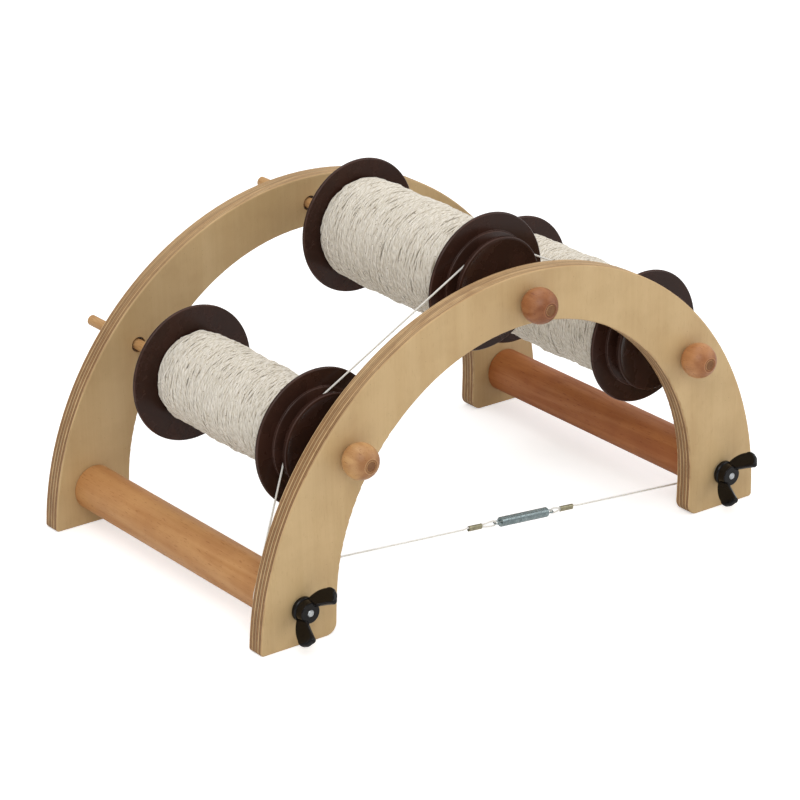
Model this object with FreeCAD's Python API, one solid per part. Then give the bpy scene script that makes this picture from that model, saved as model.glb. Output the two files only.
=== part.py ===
import FreeCAD, Part
import math
import os

from FreeCAD import Vector

# ---------------------------------------------------------------------------
# Driving dimensions, in mm. X runs across the arches, Y from the knobs (front,
# negative) to the rod ends (rear, positive), Z up from the floor.
# ---------------------------------------------------------------------------

# arch boards
ARCH_RADIUS = 270.0           # outer half circle, centred on the floor line
OPENING_RADIUS = 194.0        # half circle at the top of the opening
OPENING_CENTRE_Z = 30.0
BOARD_THICKNESS = 17.5
FRONT_FACE_Y = -168.5         # front face of the front arch
FRAME_DEPTH = 314.0           # front face of front arch to back face of rear arch
FOOT_INNER_ROUND = 10.0
FOOT_OUTER_ROUND = 3.0
BOARD_EASING = 1.4            # rounding along both outlines of each board

# crossbars
BAR_X = 231.0
BAR_Z = 33.5
BAR_RADIUS = 20.0
CORD_HOLE_RADIUS = 1.6        # cross hole for the brake cord
LEFT_HOLE_ANGLE = 54.0        # degrees above +X, where the cord leaves the left bar
RIGHT_HOLE_ANGLE = 153.0
CORD_BAR_Y = FRONT_FACE_Y + 35.25   # both cross holes lie in this plane

# axle rods and knobs
SIDE_AXLE_X = 183.0
SIDE_AXLE_Z = 154.0
MIDDLE_AXLE_Z = 245.0
ROD_RADIUS = 4.75
FRONT_ROD_HOLE_RADIUS = 5.0    # close fit, which keeps the rod straight
REAR_ROD_HOLE_RADIUS = 6.9     # roomy, so that the rod finds it easily
ROD_REAR_STANDOUT = 54.5      # rod end beyond the rear arch
KNOB_RADIUS = 15.3
KNOB_FRONT_STANDOUT = 27.5    # front of knob ahead of the front arch
KNOB_GAP = 0.2                # running gap between knob and arch
KNOB_FRONT_CUT = 13.9         # flat on the knob, from its centre

# bobbins
FLANGE_RADIUS = 60.0
FLANGE_THICKNESS = 3.5
YARN_SPACE = 168.0            # between the flanges' inner faces
BOBBIN_BORE_RADIUS = 5.2
CORE_OUTER_RADIUS = 14.0
CORE_INNER_RADIUS = 11.0
SPIGOT_LENGTH = 9.0
WHORL_STEP_RADIUS = 44.5
GROOVE_RADIUS = 33.8
FRONT_DISC_RADIUS = 43.6
WHORL_LENGTH = 19.5           # inner face of the flange to front of the whorl
GROOVE_CENTRE = 10.75         # inner face of the flange to middle of the groove
GROOVE_HALF_WIDTH = 2.2       # at its bottom, so that the cord can lean out of it
REAR_BOSS_RADIUS = 11.0
REAR_BOSS_LENGTH = 8.0

# each bobbin's axle, and how far along it the front flange's inner face sits
BOBBINS = {
    "left": (-SIDE_AXLE_X, SIDE_AXLE_Z, FRONT_FACE_Y + 47.5),
    "middle": (0.0, MIDDLE_AXLE_Z, FRONT_FACE_Y + 57.5),
    "right": (SIDE_AXLE_X, SIDE_AXLE_Z, FRONT_FACE_Y + 59.5),
}

# wound yarn: radius at the rear flange, at the middle and at the front flange
YARN_RADII = {
    "left": (38.5, 39.0, 37.5),
    "middle": (44.5, 45.5, 42.5),
    "right": (44.5, 46.0, 44.0),
}
YARN_END_GAP = 0.3

# studs, nuts and bolts
STUD_RADIUS = 3.0
STUD_HOLE_RADIUS = 3.3
STUD_STANDOUT = 14.0          # stud end ahead of the front arch
STUD_IN_BAR = 13.0            # ends short of the cord's cross hole
INSERT_RADIUS = 5.5
INSERT_LENGTH = 14.0
WASHER_RADIUS = 9.0
WASHER_THICKNESS = 1.6
NUT_BORE_RADIUS = 3.05
NUT_BASE_RADIUS = 10.8
NUT_TOP_RADIUS = 8.6
NUT_HEIGHT = 11.8
WING_REACH = 26.4             # wing tip from the stud's axis
WING_RISE = 29.9              # wing tip ahead of the washer
WING_THICKNESS = 5.0
WING_ANGLE = 54.0             # degrees above +X
BOLT_HEAD_RADIUS = 8.0
BOLT_HEAD_THICKNESS = 2.2
BOLT_LENGTH = 52.0

# brake cord and spring
CORD_RADIUS = 0.8
CORD_CLEARANCE = 0.3          # to the whorls, which turn under it
SPRING_START_X = 7.0
SPRING_LENGTH = 52.0
SPRING_OUTER_RADIUS = 4.3
SPRING_WIRE_RADIUS = 0.6
SPRING_LOOP_RADIUS = 3.4
SPRING_LOOP_SINK = 0.3        # how far the loop's wire sits into the end turn
CORD_LOOP_RADIUS = 2.0        # end loop of the cord, on its centre line
LEFT_LOOP_LENGTH = 14.0
RIGHT_LOOP_LENGTH = 8.5
LOOP_GAP = 0.05               # between the cord's loop and the spring's loop
CRIMP_LENGTH = 14.0
CRIMP_HALF_HEIGHT = 2.45
CRIMP_HALF_WIDTH = 1.6
CRIMP_BORE_GAP = 0.25         # round each leg of the cord
ENTRY_BEND = 2.6              # cord's bend into the left bar's cross hole
EXIT_BEND = 4.0               # and out of it, on the centre line
BLEND_LENGTH = 4.0            # cord easing from a straight run on to a guide

# derived positions
FRONT_BOARD_BACK_Y = FRONT_FACE_Y + BOARD_THICKNESS
REAR_BACK_Y = FRONT_FACE_Y + FRAME_DEPTH
REAR_FACE_Y = REAR_BACK_Y - BOARD_THICKNESS
KNOB_FRONT_Y = FRONT_FACE_Y - KNOB_FRONT_STANDOUT
ROD_END_Y = REAR_BACK_Y + ROD_REAR_STANDOUT
ALONG_Y = Vector(0, 1, 0)


# ---------------------------------------------------------------------------
# Helpers
# ---------------------------------------------------------------------------

def cylinder_y(radius, y_start, y_end, x, z):
    """Cylinder along Y between two planes."""
    return Part.makeCylinder(radius, y_end - y_start, Vector(x, y_start, z), ALONG_Y)


def outline_face(steps, to_point):
    """Face from a closed outline.

    steps is a list whose first item is the start point; every further item is
    an end point, or a pair (point on the arc, end point).
    """
    edges = []
    here = steps[0]
    for step in steps[1:]:
        if isinstance(step[0], tuple):
            middle, there = step
            arc = Part.Arc(to_point(here), to_point(middle), to_point(there))
            edges.append(arc.toShape())
        else:
            there = step
            edges.append(Part.makeLine(to_point(here), to_point(there)))
        here = there
    if here != steps[0]:
        edges.append(Part.makeLine(to_point(here), to_point(steps[0])))
    return Part.Face(Part.Wire(edges))


def turned(steps, x, z):
    """Solid turned about the Y line through (x, z) from (radius, y) points."""
    face = outline_face(steps, lambda p: Vector(x + p[0], p[1], z))
    return face.revolve(Vector(x, 0, z), ALONG_Y, 360.0)


def rim_arc(radius, y_start, y_end, bulge):
    """Arc step that rounds a rim from (radius, y_start) over to (radius, y_end)."""
    return ((radius + bulge, (y_start + y_end) / 2), (radius, y_end))


def polar(centre, radius, angle):
    """Point of the XZ plane at an angle in degrees above +X."""
    turn = math.radians(angle)
    return (centre[0] + radius * math.cos(turn), centre[1] + radius * math.sin(turn))


# ---------------------------------------------------------------------------
# Frame
# ---------------------------------------------------------------------------

def arch_board(y_start, rod_hole_radius):
    """One half-round board with two feet and eased outlines."""
    foot_out = math.sqrt(ARCH_RADIUS ** 2 - FOOT_OUTER_ROUND ** 2)
    corner = FOOT_INNER_ROUND * (1 - math.sqrt(0.5))
    outer = FOOT_OUTER_ROUND * (1 - math.sqrt(0.5))
    inner = OPENING_RADIUS
    top_of_opening = OPENING_CENTRE_Z + OPENING_RADIUS
    steps = [
        (-inner - FOOT_INNER_ROUND, 0.0),
        (-foot_out + FOOT_OUTER_ROUND, 0.0),
        ((-foot_out + outer, outer), (-foot_out, FOOT_OUTER_ROUND)),
        ((0.0, ARCH_RADIUS), (foot_out, FOOT_OUTER_ROUND)),
        ((foot_out - outer, outer), (foot_out - FOOT_OUTER_ROUND, 0.0)),
        (inner + FOOT_INNER_ROUND, 0.0),
        ((inner + corner, corner), (inner, FOOT_INNER_ROUND)),
        (inner, OPENING_CENTRE_Z),
        ((0.0, top_of_opening), (-inner, OPENING_CENTRE_Z)),
        (-inner, FOOT_INNER_ROUND),
        ((-inner - corner, corner), (-inner - FOOT_INNER_ROUND, 0.0)),
    ]
    face = outline_face(steps, lambda p: Vector(p[0], y_start, p[1]))
    board = face.extrude(Vector(0, BOARD_THICKNESS, 0))
    rims = [edge for edge in board.Edges
            if abs(edge.BoundBox.YMax - edge.BoundBox.YMin) < 1e-6]
    board = board.makeFillet(BOARD_EASING, rims)
    for x, z, _ in BOBBINS.values():
        hole = cylinder_y(rod_hole_radius, y_start - 1, y_start + BOARD_THICKNESS + 1, x, z)
        board = board.cut(hole)
    for side in (-1, 1):
        hole = cylinder_y(STUD_HOLE_RADIUS, y_start - 1, y_start + BOARD_THICKNESS + 1,
                          side * BAR_X, BAR_Z)
        board = board.cut(hole)
    return board


def crossbar(side, hole_angle):
    """Round bar between the boards, drilled for insert, bolt and cord."""
    x = side * BAR_X
    bar = cylinder_y(BAR_RADIUS, FRONT_BOARD_BACK_Y, REAR_FACE_Y, x, BAR_Z)
    bar = bar.makeChamfer(0.8, [edge for edge in bar.Edges if len(edge.Vertexes) == 1])
    socket = cylinder_y(INSERT_RADIUS, FRONT_BOARD_BACK_Y - 1,
                        FRONT_BOARD_BACK_Y + INSERT_LENGTH, x, BAR_Z)
    relief = cylinder_y(STUD_HOLE_RADIUS, FRONT_BOARD_BACK_Y,
                        FRONT_BOARD_BACK_Y + STUD_IN_BAR + 2, x, BAR_Z)
    bolt_hole = cylinder_y(STUD_RADIUS, REAR_BACK_Y + BOLT_HEAD_THICKNESS - BOLT_LENGTH,
                           REAR_FACE_Y + 1, x, BAR_Z)
    start = polar((x, BAR_Z), -BAR_RADIUS - 1, hole_angle)
    end = polar((x, BAR_Z), BAR_RADIUS + 1, hole_angle)
    axis = Vector(end[0] - start[0], 0, end[1] - start[1])
    cord_hole = Part.makeCylinder(CORD_HOLE_RADIUS, axis.Length,
                                  Vector(start[0], CORD_BAR_Y, start[1]), axis)
    return bar.cut(socket).cut(relief).cut(bolt_hole).cut(cord_hole)


# ---------------------------------------------------------------------------
# Fastenings
# ---------------------------------------------------------------------------

def insert(side):
    """Flanged brass sleeve in the front end of a crossbar."""
    x = side * BAR_X
    body = cylinder_y(INSERT_RADIUS, FRONT_BOARD_BACK_Y,
                      FRONT_BOARD_BACK_Y + INSERT_LENGTH, x, BAR_Z)
    bore = cylinder_y(STUD_RADIUS, FRONT_BOARD_BACK_Y - 1,
                      FRONT_BOARD_BACK_Y + INSERT_LENGTH + 1, x, BAR_Z)
    return body.cut(bore)


def stud(side):
    """Threaded rod from the crossbar out through the front arch."""
    body = cylinder_y(STUD_RADIUS, FRONT_FACE_Y - STUD_STANDOUT,
                      FRONT_BOARD_BACK_Y + STUD_IN_BAR, side * BAR_X, BAR_Z)
    return body.makeChamfer(0.6, [edge for edge in body.Edges if len(edge.Vertexes) == 1])


def washer(side):
    """Flat washer on the front arch."""
    x = side * BAR_X
    body = cylinder_y(WASHER_RADIUS, FRONT_FACE_Y - WASHER_THICKNESS, FRONT_FACE_Y, x, BAR_Z)
    bore = cylinder_y(STUD_HOLE_RADIUS, FRONT_FACE_Y - 5, FRONT_FACE_Y + 5, x, BAR_Z)
    return body.cut(bore)


def wing(seat_y, direction):
    """One rounded ear, raised forwards from the nut's hub, at the origin."""
    reach = WING_REACH
    rise = WING_RISE
    steps = [
        (4.5, -1.6),
        (9.5, -2.2),
        ((reach - 8.0, -7.4), (reach - 2.2, -rise + 15.0)),
        ((reach, -rise + 10.6), (reach - 1.2, -rise + 6.2)),
        ((reach - 2.4, -rise + 4.0), (reach - 4.4, -rise + 2.4)),
        (reach - 6.6, -rise + 0.9),
        ((reach - 9.4, -rise), (reach - 11.4, -rise + 2.0)),
        ((11.0, -rise + 10.0), (5.6, -NUT_HEIGHT + 1.2)),
    ]
    half = WING_THICKNESS / 2
    face = outline_face(steps, lambda p: Vector(direction * p[0], seat_y + p[1], -half))
    ear = face.extrude(Vector(0, 0, WING_THICKNESS))
    return ear.makeFillet(1.6, ear.Edges)


def wing_nut(side):
    """Wing nut: tapered hub with a raised collar and two ears."""
    seat_y = FRONT_FACE_Y - WASHER_THICKNESS
    base, top = NUT_BASE_RADIUS, NUT_TOP_RADIUS
    hub = turned([
        (0.0, seat_y),
        (base - 0.8, seat_y),
        ((base - 0.24, seat_y - 0.24), (base, seat_y - 0.8)),
        (base, seat_y - 2.2),
        ((base - 0.4, seat_y - 3.4), (base - 1.4, seat_y - 4.2)),
        (top + 0.5, seat_y - NUT_HEIGHT + 0.9),
        ((top + 0.2, seat_y - NUT_HEIGHT + 0.25), (top - 0.6, seat_y - NUT_HEIGHT)),
        (0.0, seat_y - NUT_HEIGHT),
    ], 0.0, 0.0)
    nut = hub.fuse(wing(seat_y, 1)).fuse(wing(seat_y, -1))
    nut.rotate(Vector(0, 0, 0), ALONG_Y, -WING_ANGLE)
    nut.translate(Vector(side * BAR_X, 0, BAR_Z))
    bore = cylinder_y(NUT_BORE_RADIUS, seat_y - NUT_HEIGHT - 15, seat_y + 1,
                      side * BAR_X, BAR_Z)
    return nut.cut(bore).removeSplitter()


def rear_bolt(side):
    """Low-headed bolt through the rear arch into a crossbar."""
    x = side * BAR_X
    head_y = REAR_BACK_Y + BOLT_HEAD_THICKNESS
    head = turned([
        (0.0, REAR_BACK_Y),
        (BOLT_HEAD_RADIUS, REAR_BACK_Y),
        (BOLT_HEAD_RADIUS, REAR_BACK_Y + 0.8),
        ((BOLT_HEAD_RADIUS - 0.9, head_y - 0.5), (BOLT_HEAD_RADIUS - 2.6, head_y)),
        (0.0, head_y),
    ], x, BAR_Z)
    shank = cylinder_y(STUD_RADIUS, head_y - BOLT_LENGTH, head_y - 1, x, BAR_Z)
    corners = [polar((x, BAR_Z), 2.3, 60 * k) for k in range(7)]
    key = Part.Face(Part.makePolygon([Vector(px, head_y - 1.6, pz) for px, pz in corners]))
    return head.fuse(shank).cut(key.extrude(Vector(0, 3, 0))).removeSplitter()


# ---------------------------------------------------------------------------
# Axle rods and bobbins
# ---------------------------------------------------------------------------

def axle_rod(x, z):
    """Round wooden rod, flush with the front of its knob."""
    body = cylinder_y(ROD_RADIUS, KNOB_FRONT_Y, ROD_END_Y, x, z)
    return body.makeChamfer(0.5, [edge for edge in body.Edges if len(edge.Vertexes) == 1])


def knob(x, z):
    """Ball with a flat front, a flat back and a bore for the rod."""
    centre_y = KNOB_FRONT_Y + KNOB_FRONT_CUT
    back_y = FRONT_FACE_Y - KNOB_GAP
    front_flat = math.sqrt(KNOB_RADIUS ** 2 - KNOB_FRONT_CUT ** 2)
    back_flat = math.sqrt(KNOB_RADIUS ** 2 - (back_y - centre_y) ** 2)
    return turned([
        (ROD_RADIUS, KNOB_FRONT_Y),
        (front_flat, KNOB_FRONT_Y),
        ((KNOB_RADIUS, centre_y), (back_flat, back_y)),
        (ROD_RADIUS, back_y),
    ], x, z)


def whorl(x, z, face_y):
    """Front flange, brake groove and dished front disc turned in one piece."""
    def at(radius, ahead):
        return (radius, face_y - ahead)
    disc, step = FRONT_DISC_RADIUS, WHORL_STEP_RADIUS
    return turned([
        at(BOBBIN_BORE_RADIUS, -SPIGOT_LENGTH),
        at(CORE_INNER_RADIUS, -SPIGOT_LENGTH),
        at(CORE_INNER_RADIUS, 0.0),
        at(FLANGE_RADIUS - 1.2, 0.0),
        rim_arc(FLANGE_RADIUS - 1.2, face_y, face_y - FLANGE_THICKNESS, 1.2),
        at(step + 0.6, FLANGE_THICKNESS),
        (at(step + 0.15, FLANGE_THICKNESS + 0.15), at(step, FLANGE_THICKNESS + 0.6)),
        (at(step - 0.3, FLANGE_THICKNESS + 1.5), at(step - 1.2, FLANGE_THICKNESS + 2.0)),
        at(GROOVE_RADIUS + 0.5, GROOVE_CENTRE - GROOVE_HALF_WIDTH),
        (at(GROOVE_RADIUS, GROOVE_CENTRE), at(GROOVE_RADIUS + 0.5, GROOVE_CENTRE + GROOVE_HALF_WIDTH)),
        at(disc - 0.8, WHORL_LENGTH - 4.4),
        (at(disc - 0.2, WHORL_LENGTH - 4.0), at(disc, WHORL_LENGTH - 3.4)),
        at(disc, WHORL_LENGTH - 1.0),
        (at(disc - 0.3, WHORL_LENGTH - 0.3), at(disc - 1.0, WHORL_LENGTH)),
        at(disc - 2.2, WHORL_LENGTH),
        (at(disc - 9.0, WHORL_LENGTH - 1.9), at(disc - 20.0, WHORL_LENGTH - 2.6)),
        at(REAR_BOSS_RADIUS + 1.0, WHORL_LENGTH - 2.6),
        (at(REAR_BOSS_RADIUS + 0.2, WHORL_LENGTH - 2.3), at(REAR_BOSS_RADIUS, WHORL_LENGTH - 1.6)),
        at(REAR_BOSS_RADIUS - 0.6, WHORL_LENGTH),
        at(BOBBIN_BORE_RADIUS, WHORL_LENGTH),
    ], x, z)


def rear_flange(x, z, face_y):
    """Plain flange with a boss behind it."""
    back_y = face_y + FLANGE_THICKNESS
    return turned([
        (BOBBIN_BORE_RADIUS, face_y - SPIGOT_LENGTH),
        (CORE_INNER_RADIUS, face_y - SPIGOT_LENGTH),
        (CORE_INNER_RADIUS, face_y),
        (FLANGE_RADIUS - 1.2, face_y),
        rim_arc(FLANGE_RADIUS - 1.2, face_y, back_y, 1.2),
        (REAR_BOSS_RADIUS + 4.0, back_y),
        ((REAR_BOSS_RADIUS + 1.2, back_y + 1.2), (REAR_BOSS_RADIUS, back_y + 4.0)),
        (REAR_BOSS_RADIUS, back_y + REAR_BOSS_LENGTH - 0.8),
        (REAR_BOSS_RADIUS - 0.8, back_y + REAR_BOSS_LENGTH),
        (BOBBIN_BORE_RADIUS, back_y + REAR_BOSS_LENGTH),
    ], x, z)


def core(x, z, face_y):
    """Plain tube between the two flanges."""
    outer = cylinder_y(CORE_OUTER_RADIUS, face_y, face_y + YARN_SPACE, x, z)
    inner = cylinder_y(CORE_INNER_RADIUS, face_y - 1, face_y + YARN_SPACE + 1, x, z)
    return outer.cut(inner)


def yarn(x, z, face_y, radii):
    """Wound yarn as one closed solid around the core."""
    rear_radius, middle_radius, front_radius = radii
    front_y = face_y + YARN_END_GAP
    rear_y = face_y + YARN_SPACE - YARN_END_GAP
    return turned([
        (CORE_OUTER_RADIUS, front_y),
        (front_radius - 2.0, front_y),
        ((front_radius - 0.6, front_y + 0.6), (front_radius, front_y + 2.0)),
        ((middle_radius, (front_y + rear_y) / 2), (rear_radius, rear_y - 2.0)),
        ((rear_radius - 0.6, rear_y - 0.6), (rear_radius - 2.0, rear_y)),
        (CORE_OUTER_RADIUS, rear_y),
    ], x, z)


# ---------------------------------------------------------------------------
# Brake cord, its spring and its crimps
# ---------------------------------------------------------------------------

def groove_guide(name):
    """Circle the cord's centre line follows in a whorl: centre, radius, Y."""
    x, z, face_y = BOBBINS[name]
    return (x, z), GROOVE_RADIUS + CORD_RADIUS + CORD_CLEARANCE, face_y - GROOVE_CENTRE


def bar_guide(side):
    """Circle the cord's centre line follows around a crossbar."""
    return (side * BAR_X, BAR_Z), BAR_RADIUS + CORD_RADIUS, CORD_BAR_Y


def tangent_angle(first, second):
    """Angle of the outer tangent's contact normal, travelling anticlockwise."""
    (x1, z1), r1, _ = first
    (x2, z2), r2, _ = second
    span = math.hypot(x2 - x1, z2 - z1)
    heading = math.atan2(z2 - z1, x2 - x1)
    return math.degrees(heading - math.acos((r1 - r2) / span))


def tangent_from_point(point, centre, radius):
    """Angle where the line from a point touches the underside of a circle."""
    away_x, away_z = point[0] - centre[0], point[1] - centre[1]
    distance = math.hypot(away_x, away_z)
    return math.degrees(math.atan2(away_z, away_x) + math.acos(radius / distance))


def at_angle(guide, angle):
    """Point of a guide circle and the anticlockwise heading there."""
    centre, radius, y = guide
    x, z = polar(centre, radius, angle)
    turn = math.radians(angle)
    return Vector(x, y, z), Vector(-math.sin(turn), 0, math.cos(turn))


def arc_edge(guide, start, end):
    """Edge round a guide circle between two angles in degrees."""
    points = [at_angle(guide, start + (end - start) * part)[0] for part in (0.0, 0.5, 1.0)]
    return Part.Arc(*points).toShape()


def blend_edge(start, start_heading, end, end_heading):
    """Short smooth edge between two headings."""
    reach = (end - start).Length / 3
    curve = Part.BezierCurve()
    curve.setPoles([start, start + start_heading * reach, end - end_heading * reach, end])
    return curve.toShape()


def span_edges(start, start_heading, end, end_heading):
    """Straight stretch that meets the headings at both of its ends smoothly."""
    along = (end - start).normalize()
    first = start + along * BLEND_LENGTH
    last = end - along * BLEND_LENGTH
    return [blend_edge(start, start_heading, first, along),
            Part.makeLine(first, last),
            blend_edge(last, along, end, end_heading)]


def lower_line():
    """Ends of the straight lower run: right bar's underside, left bar's hole."""
    left_x, left_z = polar((-BAR_X, BAR_Z), BAR_RADIUS + 2.0, LEFT_HOLE_ANGLE)
    centre, radius, _ = bar_guide(1)
    angle = tangent_from_point((left_x, left_z), centre, radius)
    right_x, right_z = polar(centre, radius, angle)
    return Vector(right_x, CORD_BAR_Y, right_z), Vector(left_x, CORD_BAR_Y, left_z), angle


def along_lower(x):
    """Point of the lower run at a given x."""
    right, left, _ = lower_line()
    return left + (right - left) * ((x - left.x) / (right.x - left.x))


def spring_ends():
    """Left and right ends of the coiled body of the spring."""
    left = along_lower(SPRING_START_X)
    right, far_left, _ = lower_line()
    heading = (right - far_left).normalize()
    return left, left + heading * SPRING_LENGTH, heading


def loop_anchors():
    """Centres of the two cord end loops, each caught in a spring loop."""
    left, right, heading = spring_ends()
    hook_wire = 2 * SPRING_LOOP_RADIUS - SPRING_LOOP_SINK
    reach = hook_wire - SPRING_WIRE_RADIUS - CORD_RADIUS - LOOP_GAP + CORD_LOOP_RADIUS
    return left - heading * reach, right + heading * reach, heading


def loop_curve(anchor, outward, upward, length):
    """Cord end loop round a spring loop, from its crimp and back into it.

    anchor is the centre of the cord loop's bend; outward points to the crimp,
    which is length away.
    Returns the point where the straight cord begins, and the points of the loop.
    """
    gap = CORD_RADIUS + 0.05
    mouth = anchor + outward * length
    middle = anchor + outward * (length / 2)
    spread = (CORD_LOOP_RADIUS + gap) * 0.6
    far = mouth + outward * (CRIMP_LENGTH + 6.0)
    points = [far,
              mouth + outward * (CRIMP_LENGTH + 3.0) + upward * gap * 0.5,
              mouth + outward * CRIMP_LENGTH + upward * gap,
              mouth + outward * (CRIMP_LENGTH / 2) + upward * gap,
              mouth + upward * gap,
              middle + upward * spread]
    for angle in (0, 45, 90, 135, 180):
        turn = math.radians(angle)
        points.append(anchor + upward * CORD_LOOP_RADIUS * math.cos(turn)
                      - outward * CORD_LOOP_RADIUS * math.sin(turn))
    points += [middle - upward * spread,
               mouth - upward * gap,
               mouth + outward * (CRIMP_LENGTH / 2) - upward * gap,
               mouth + outward * (CRIMP_LENGTH - 2.0) - upward * gap]
    return far, points


def loop_edge(points, start_heading, end_heading):
    """Smooth edge through the points of an end loop."""
    curve = Part.BSplineCurve()
    curve.interpolate(Points=points, InitialTangent=start_heading, FinalTangent=end_heading)
    return curve.toShape()


def left_hole_edges(leave_heading):
    """Cord into the left bar's cross hole, through it and out along the lower run."""
    into = math.radians(LEFT_HOLE_ANGLE)
    along = Vector(math.cos(into), 0, math.sin(into))
    middle = Vector(-BAR_X, CORD_BAR_Y, BAR_Z)
    centre_distance = BAR_RADIUS + CORD_RADIUS - ENTRY_BEND
    swing = entry_swing()
    x, z = polar((-BAR_X, BAR_Z), centre_distance, 180.0 + LEFT_HOLE_ANGLE - swing)
    entry_guide = (x, z), ENTRY_BEND, CORD_BAR_Y
    entry_start = 180.0 + LEFT_HOLE_ANGLE - swing
    entry_end = entry_start + 90.0 + swing
    entry = arc_edge(entry_guide, entry_start, entry_end)
    inside = at_angle(entry_guide, entry_end)[0]
    _, corner, _ = lower_line()
    leave = math.acos(along.dot(leave_heading))
    side = (leave_heading - along * along.dot(leave_heading)).normalize()
    bend_start = corner - along * EXIT_BEND * math.tan(leave / 2)
    bend_centre = bend_start + side * EXIT_BEND

    def bend_point(part):
        return (bend_centre - side * EXIT_BEND * math.cos(leave * part)
                + along * EXIT_BEND * math.sin(leave * part))

    through = Part.makeLine(inside, bend_start)
    bend = Part.Arc(bend_start, bend_point(0.5), bend_point(1.0)).toShape()
    return [entry, through, bend], bend_point(1.0)


def entry_swing():
    """Angle before the hole at which the cord starts to bend into it."""
    distance = BAR_RADIUS + CORD_RADIUS - ENTRY_BEND
    return math.degrees(math.asin(ENTRY_BEND / distance))


def cord_edges():
    """Centre line of the whole cord, from one crimp round to the other."""
    guides = [bar_guide(1), groove_guide("right"), groove_guide("middle"),
              groove_guide("left"), bar_guide(-1)]
    normals = [tangent_angle(a, b) for a, b in zip(guides[:-1], guides[1:])]
    right_end, _, right_angle = lower_line()
    left_anchor, right_anchor, heading = loop_anchors()
    upward = heading.cross(ALONG_Y).normalize()

    far, points = loop_curve(right_anchor, heading, upward, RIGHT_LOOP_LENGTH)
    edges = [loop_edge(list(reversed(points)), heading * -1.0, heading),
             Part.makeLine(far, right_end)]
    starts = [right_angle - 360.0] + normals
    ends = normals + [180.0 + LEFT_HOLE_ANGLE - entry_swing()]
    here = None
    for guide, start, end in zip(guides, starts, ends):
        end = start + (end - start) % 360.0
        arrive = at_angle(guide, start)
        if here:
            edges += span_edges(here[0], here[1], arrive[0], arrive[1])
        edges.append(arc_edge(guide, start, end))
        here = at_angle(guide, end)
    hole, outside = left_hole_edges(heading)
    far, points = loop_curve(left_anchor, heading * -1.0, upward, LEFT_LOOP_LENGTH)
    edges += hole + [Part.makeLine(outside, far), loop_edge(points, heading, heading * -1.0)]
    return edges


def brake_cord():
    """Round cord swept along its whole route."""
    path = Part.Wire(cord_edges())
    first = path.OrderedEdges[0]
    start = first.valueAt(first.FirstParameter)
    heading = first.tangentAt(first.FirstParameter)
    section = Part.Wire([Part.makeCircle(CORD_RADIUS, start, heading)])
    return path.makePipeShell([section], True, False)


def brake_spring():
    """Close-wound extension spring: touching turns and a loop at each end."""
    left, right, heading = spring_ends()
    wire = SPRING_WIRE_RADIUS
    mean = SPRING_OUTER_RADIUS - wire
    turns = int(round(SPRING_LENGTH / (2 * wire)))
    pitch = SPRING_LENGTH / turns
    steps = [(0.0, 0.0), (mean, 0.0)]
    for k in range(turns):
        steps.append(((mean + wire, (k + 0.5) * pitch), (mean, (k + 1.0) * pitch)))
    steps.append((0.0, SPRING_LENGTH))
    face = outline_face(steps, lambda p: left + ALONG_Y * p[0] + heading * p[1])
    body = face.revolve(left, heading, 360.0)
    plane_normal = ALONG_Y.cross(heading)
    for end, outward in ((left, heading * -1.0), (right, heading)):
        centre = end + outward * (SPRING_LOOP_RADIUS - SPRING_LOOP_SINK)
        body = body.fuse(Part.makeTorus(SPRING_LOOP_RADIUS, wire, centre, plane_normal))
    return body


def crimp(anchor, outward, loop_length):
    """Flattened sleeve over the two legs of a cord end loop."""
    start = anchor + outward * loop_length
    up = ALONG_Y.cross(outward).normalize()
    half_up = CRIMP_HALF_HEIGHT - CRIMP_HALF_WIDTH

    def slot(radius, length, begin):
        centres = [begin + up * half_up, begin - up * half_up]
        block_corners = [begin + up * (a * half_up) + ALONG_Y * (b * radius)
                         for a, b in ((-1, -1), (1, -1), (1, 1), (-1, 1), (-1, -1))]
        block = Part.Face(Part.makePolygon(block_corners)).extrude(outward * length)
        for centre in centres:
            block = block.fuse(Part.makeCylinder(radius, length, centre, outward))
        return block.removeSplitter()

    shell = slot(CRIMP_HALF_WIDTH, CRIMP_LENGTH, start)
    inner = slot(CORD_RADIUS + CRIMP_BORE_GAP, CRIMP_LENGTH + 4, start - outward * 2)
    return shell.cut(inner)


# ---------------------------------------------------------------------------
# Build and export
# ---------------------------------------------------------------------------

def all_pieces():
    """Every node of the rack by name."""
    pieces = {
        "front_arch": arch_board(FRONT_FACE_Y, FRONT_ROD_HOLE_RADIUS),
        "rear_arch": arch_board(REAR_FACE_Y, REAR_ROD_HOLE_RADIUS),
        "left_crossbar": crossbar(-1, LEFT_HOLE_ANGLE),
        "right_crossbar": crossbar(1, RIGHT_HOLE_ANGLE),
    }
    for name, side in (("left", -1), ("right", 1)):
        pieces[name + "_insert"] = insert(side)
        pieces[name + "_stud"] = stud(side)
        pieces[name + "_washer"] = washer(side)
        pieces[name + "_wing_nut"] = wing_nut(side)
        pieces[name + "_rear_bolt"] = rear_bolt(side)
    for name, (x, z, face_y) in BOBBINS.items():
        pieces[name + "_rod"] = axle_rod(x, z)
        pieces[name + "_knob"] = knob(x, z)
        pieces[name + "_whorl"] = whorl(x, z, face_y)
        pieces[name + "_core"] = core(x, z, face_y)
        pieces[name + "_rear_flange"] = rear_flange(x, z, face_y + YARN_SPACE)
        pieces[name + "_yarn"] = yarn(x, z, face_y, YARN_RADII[name])
    left_anchor, right_anchor, heading = loop_anchors()
    pieces["brake_cord"] = brake_cord()
    pieces["brake_spring"] = brake_spring()
    pieces["left_crimp"] = crimp(left_anchor, heading * -1.0, LEFT_LOOP_LENGTH)
    pieces["right_crimp"] = crimp(right_anchor, heading, RIGHT_LOOP_LENGTH)
    return pieces


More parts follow.
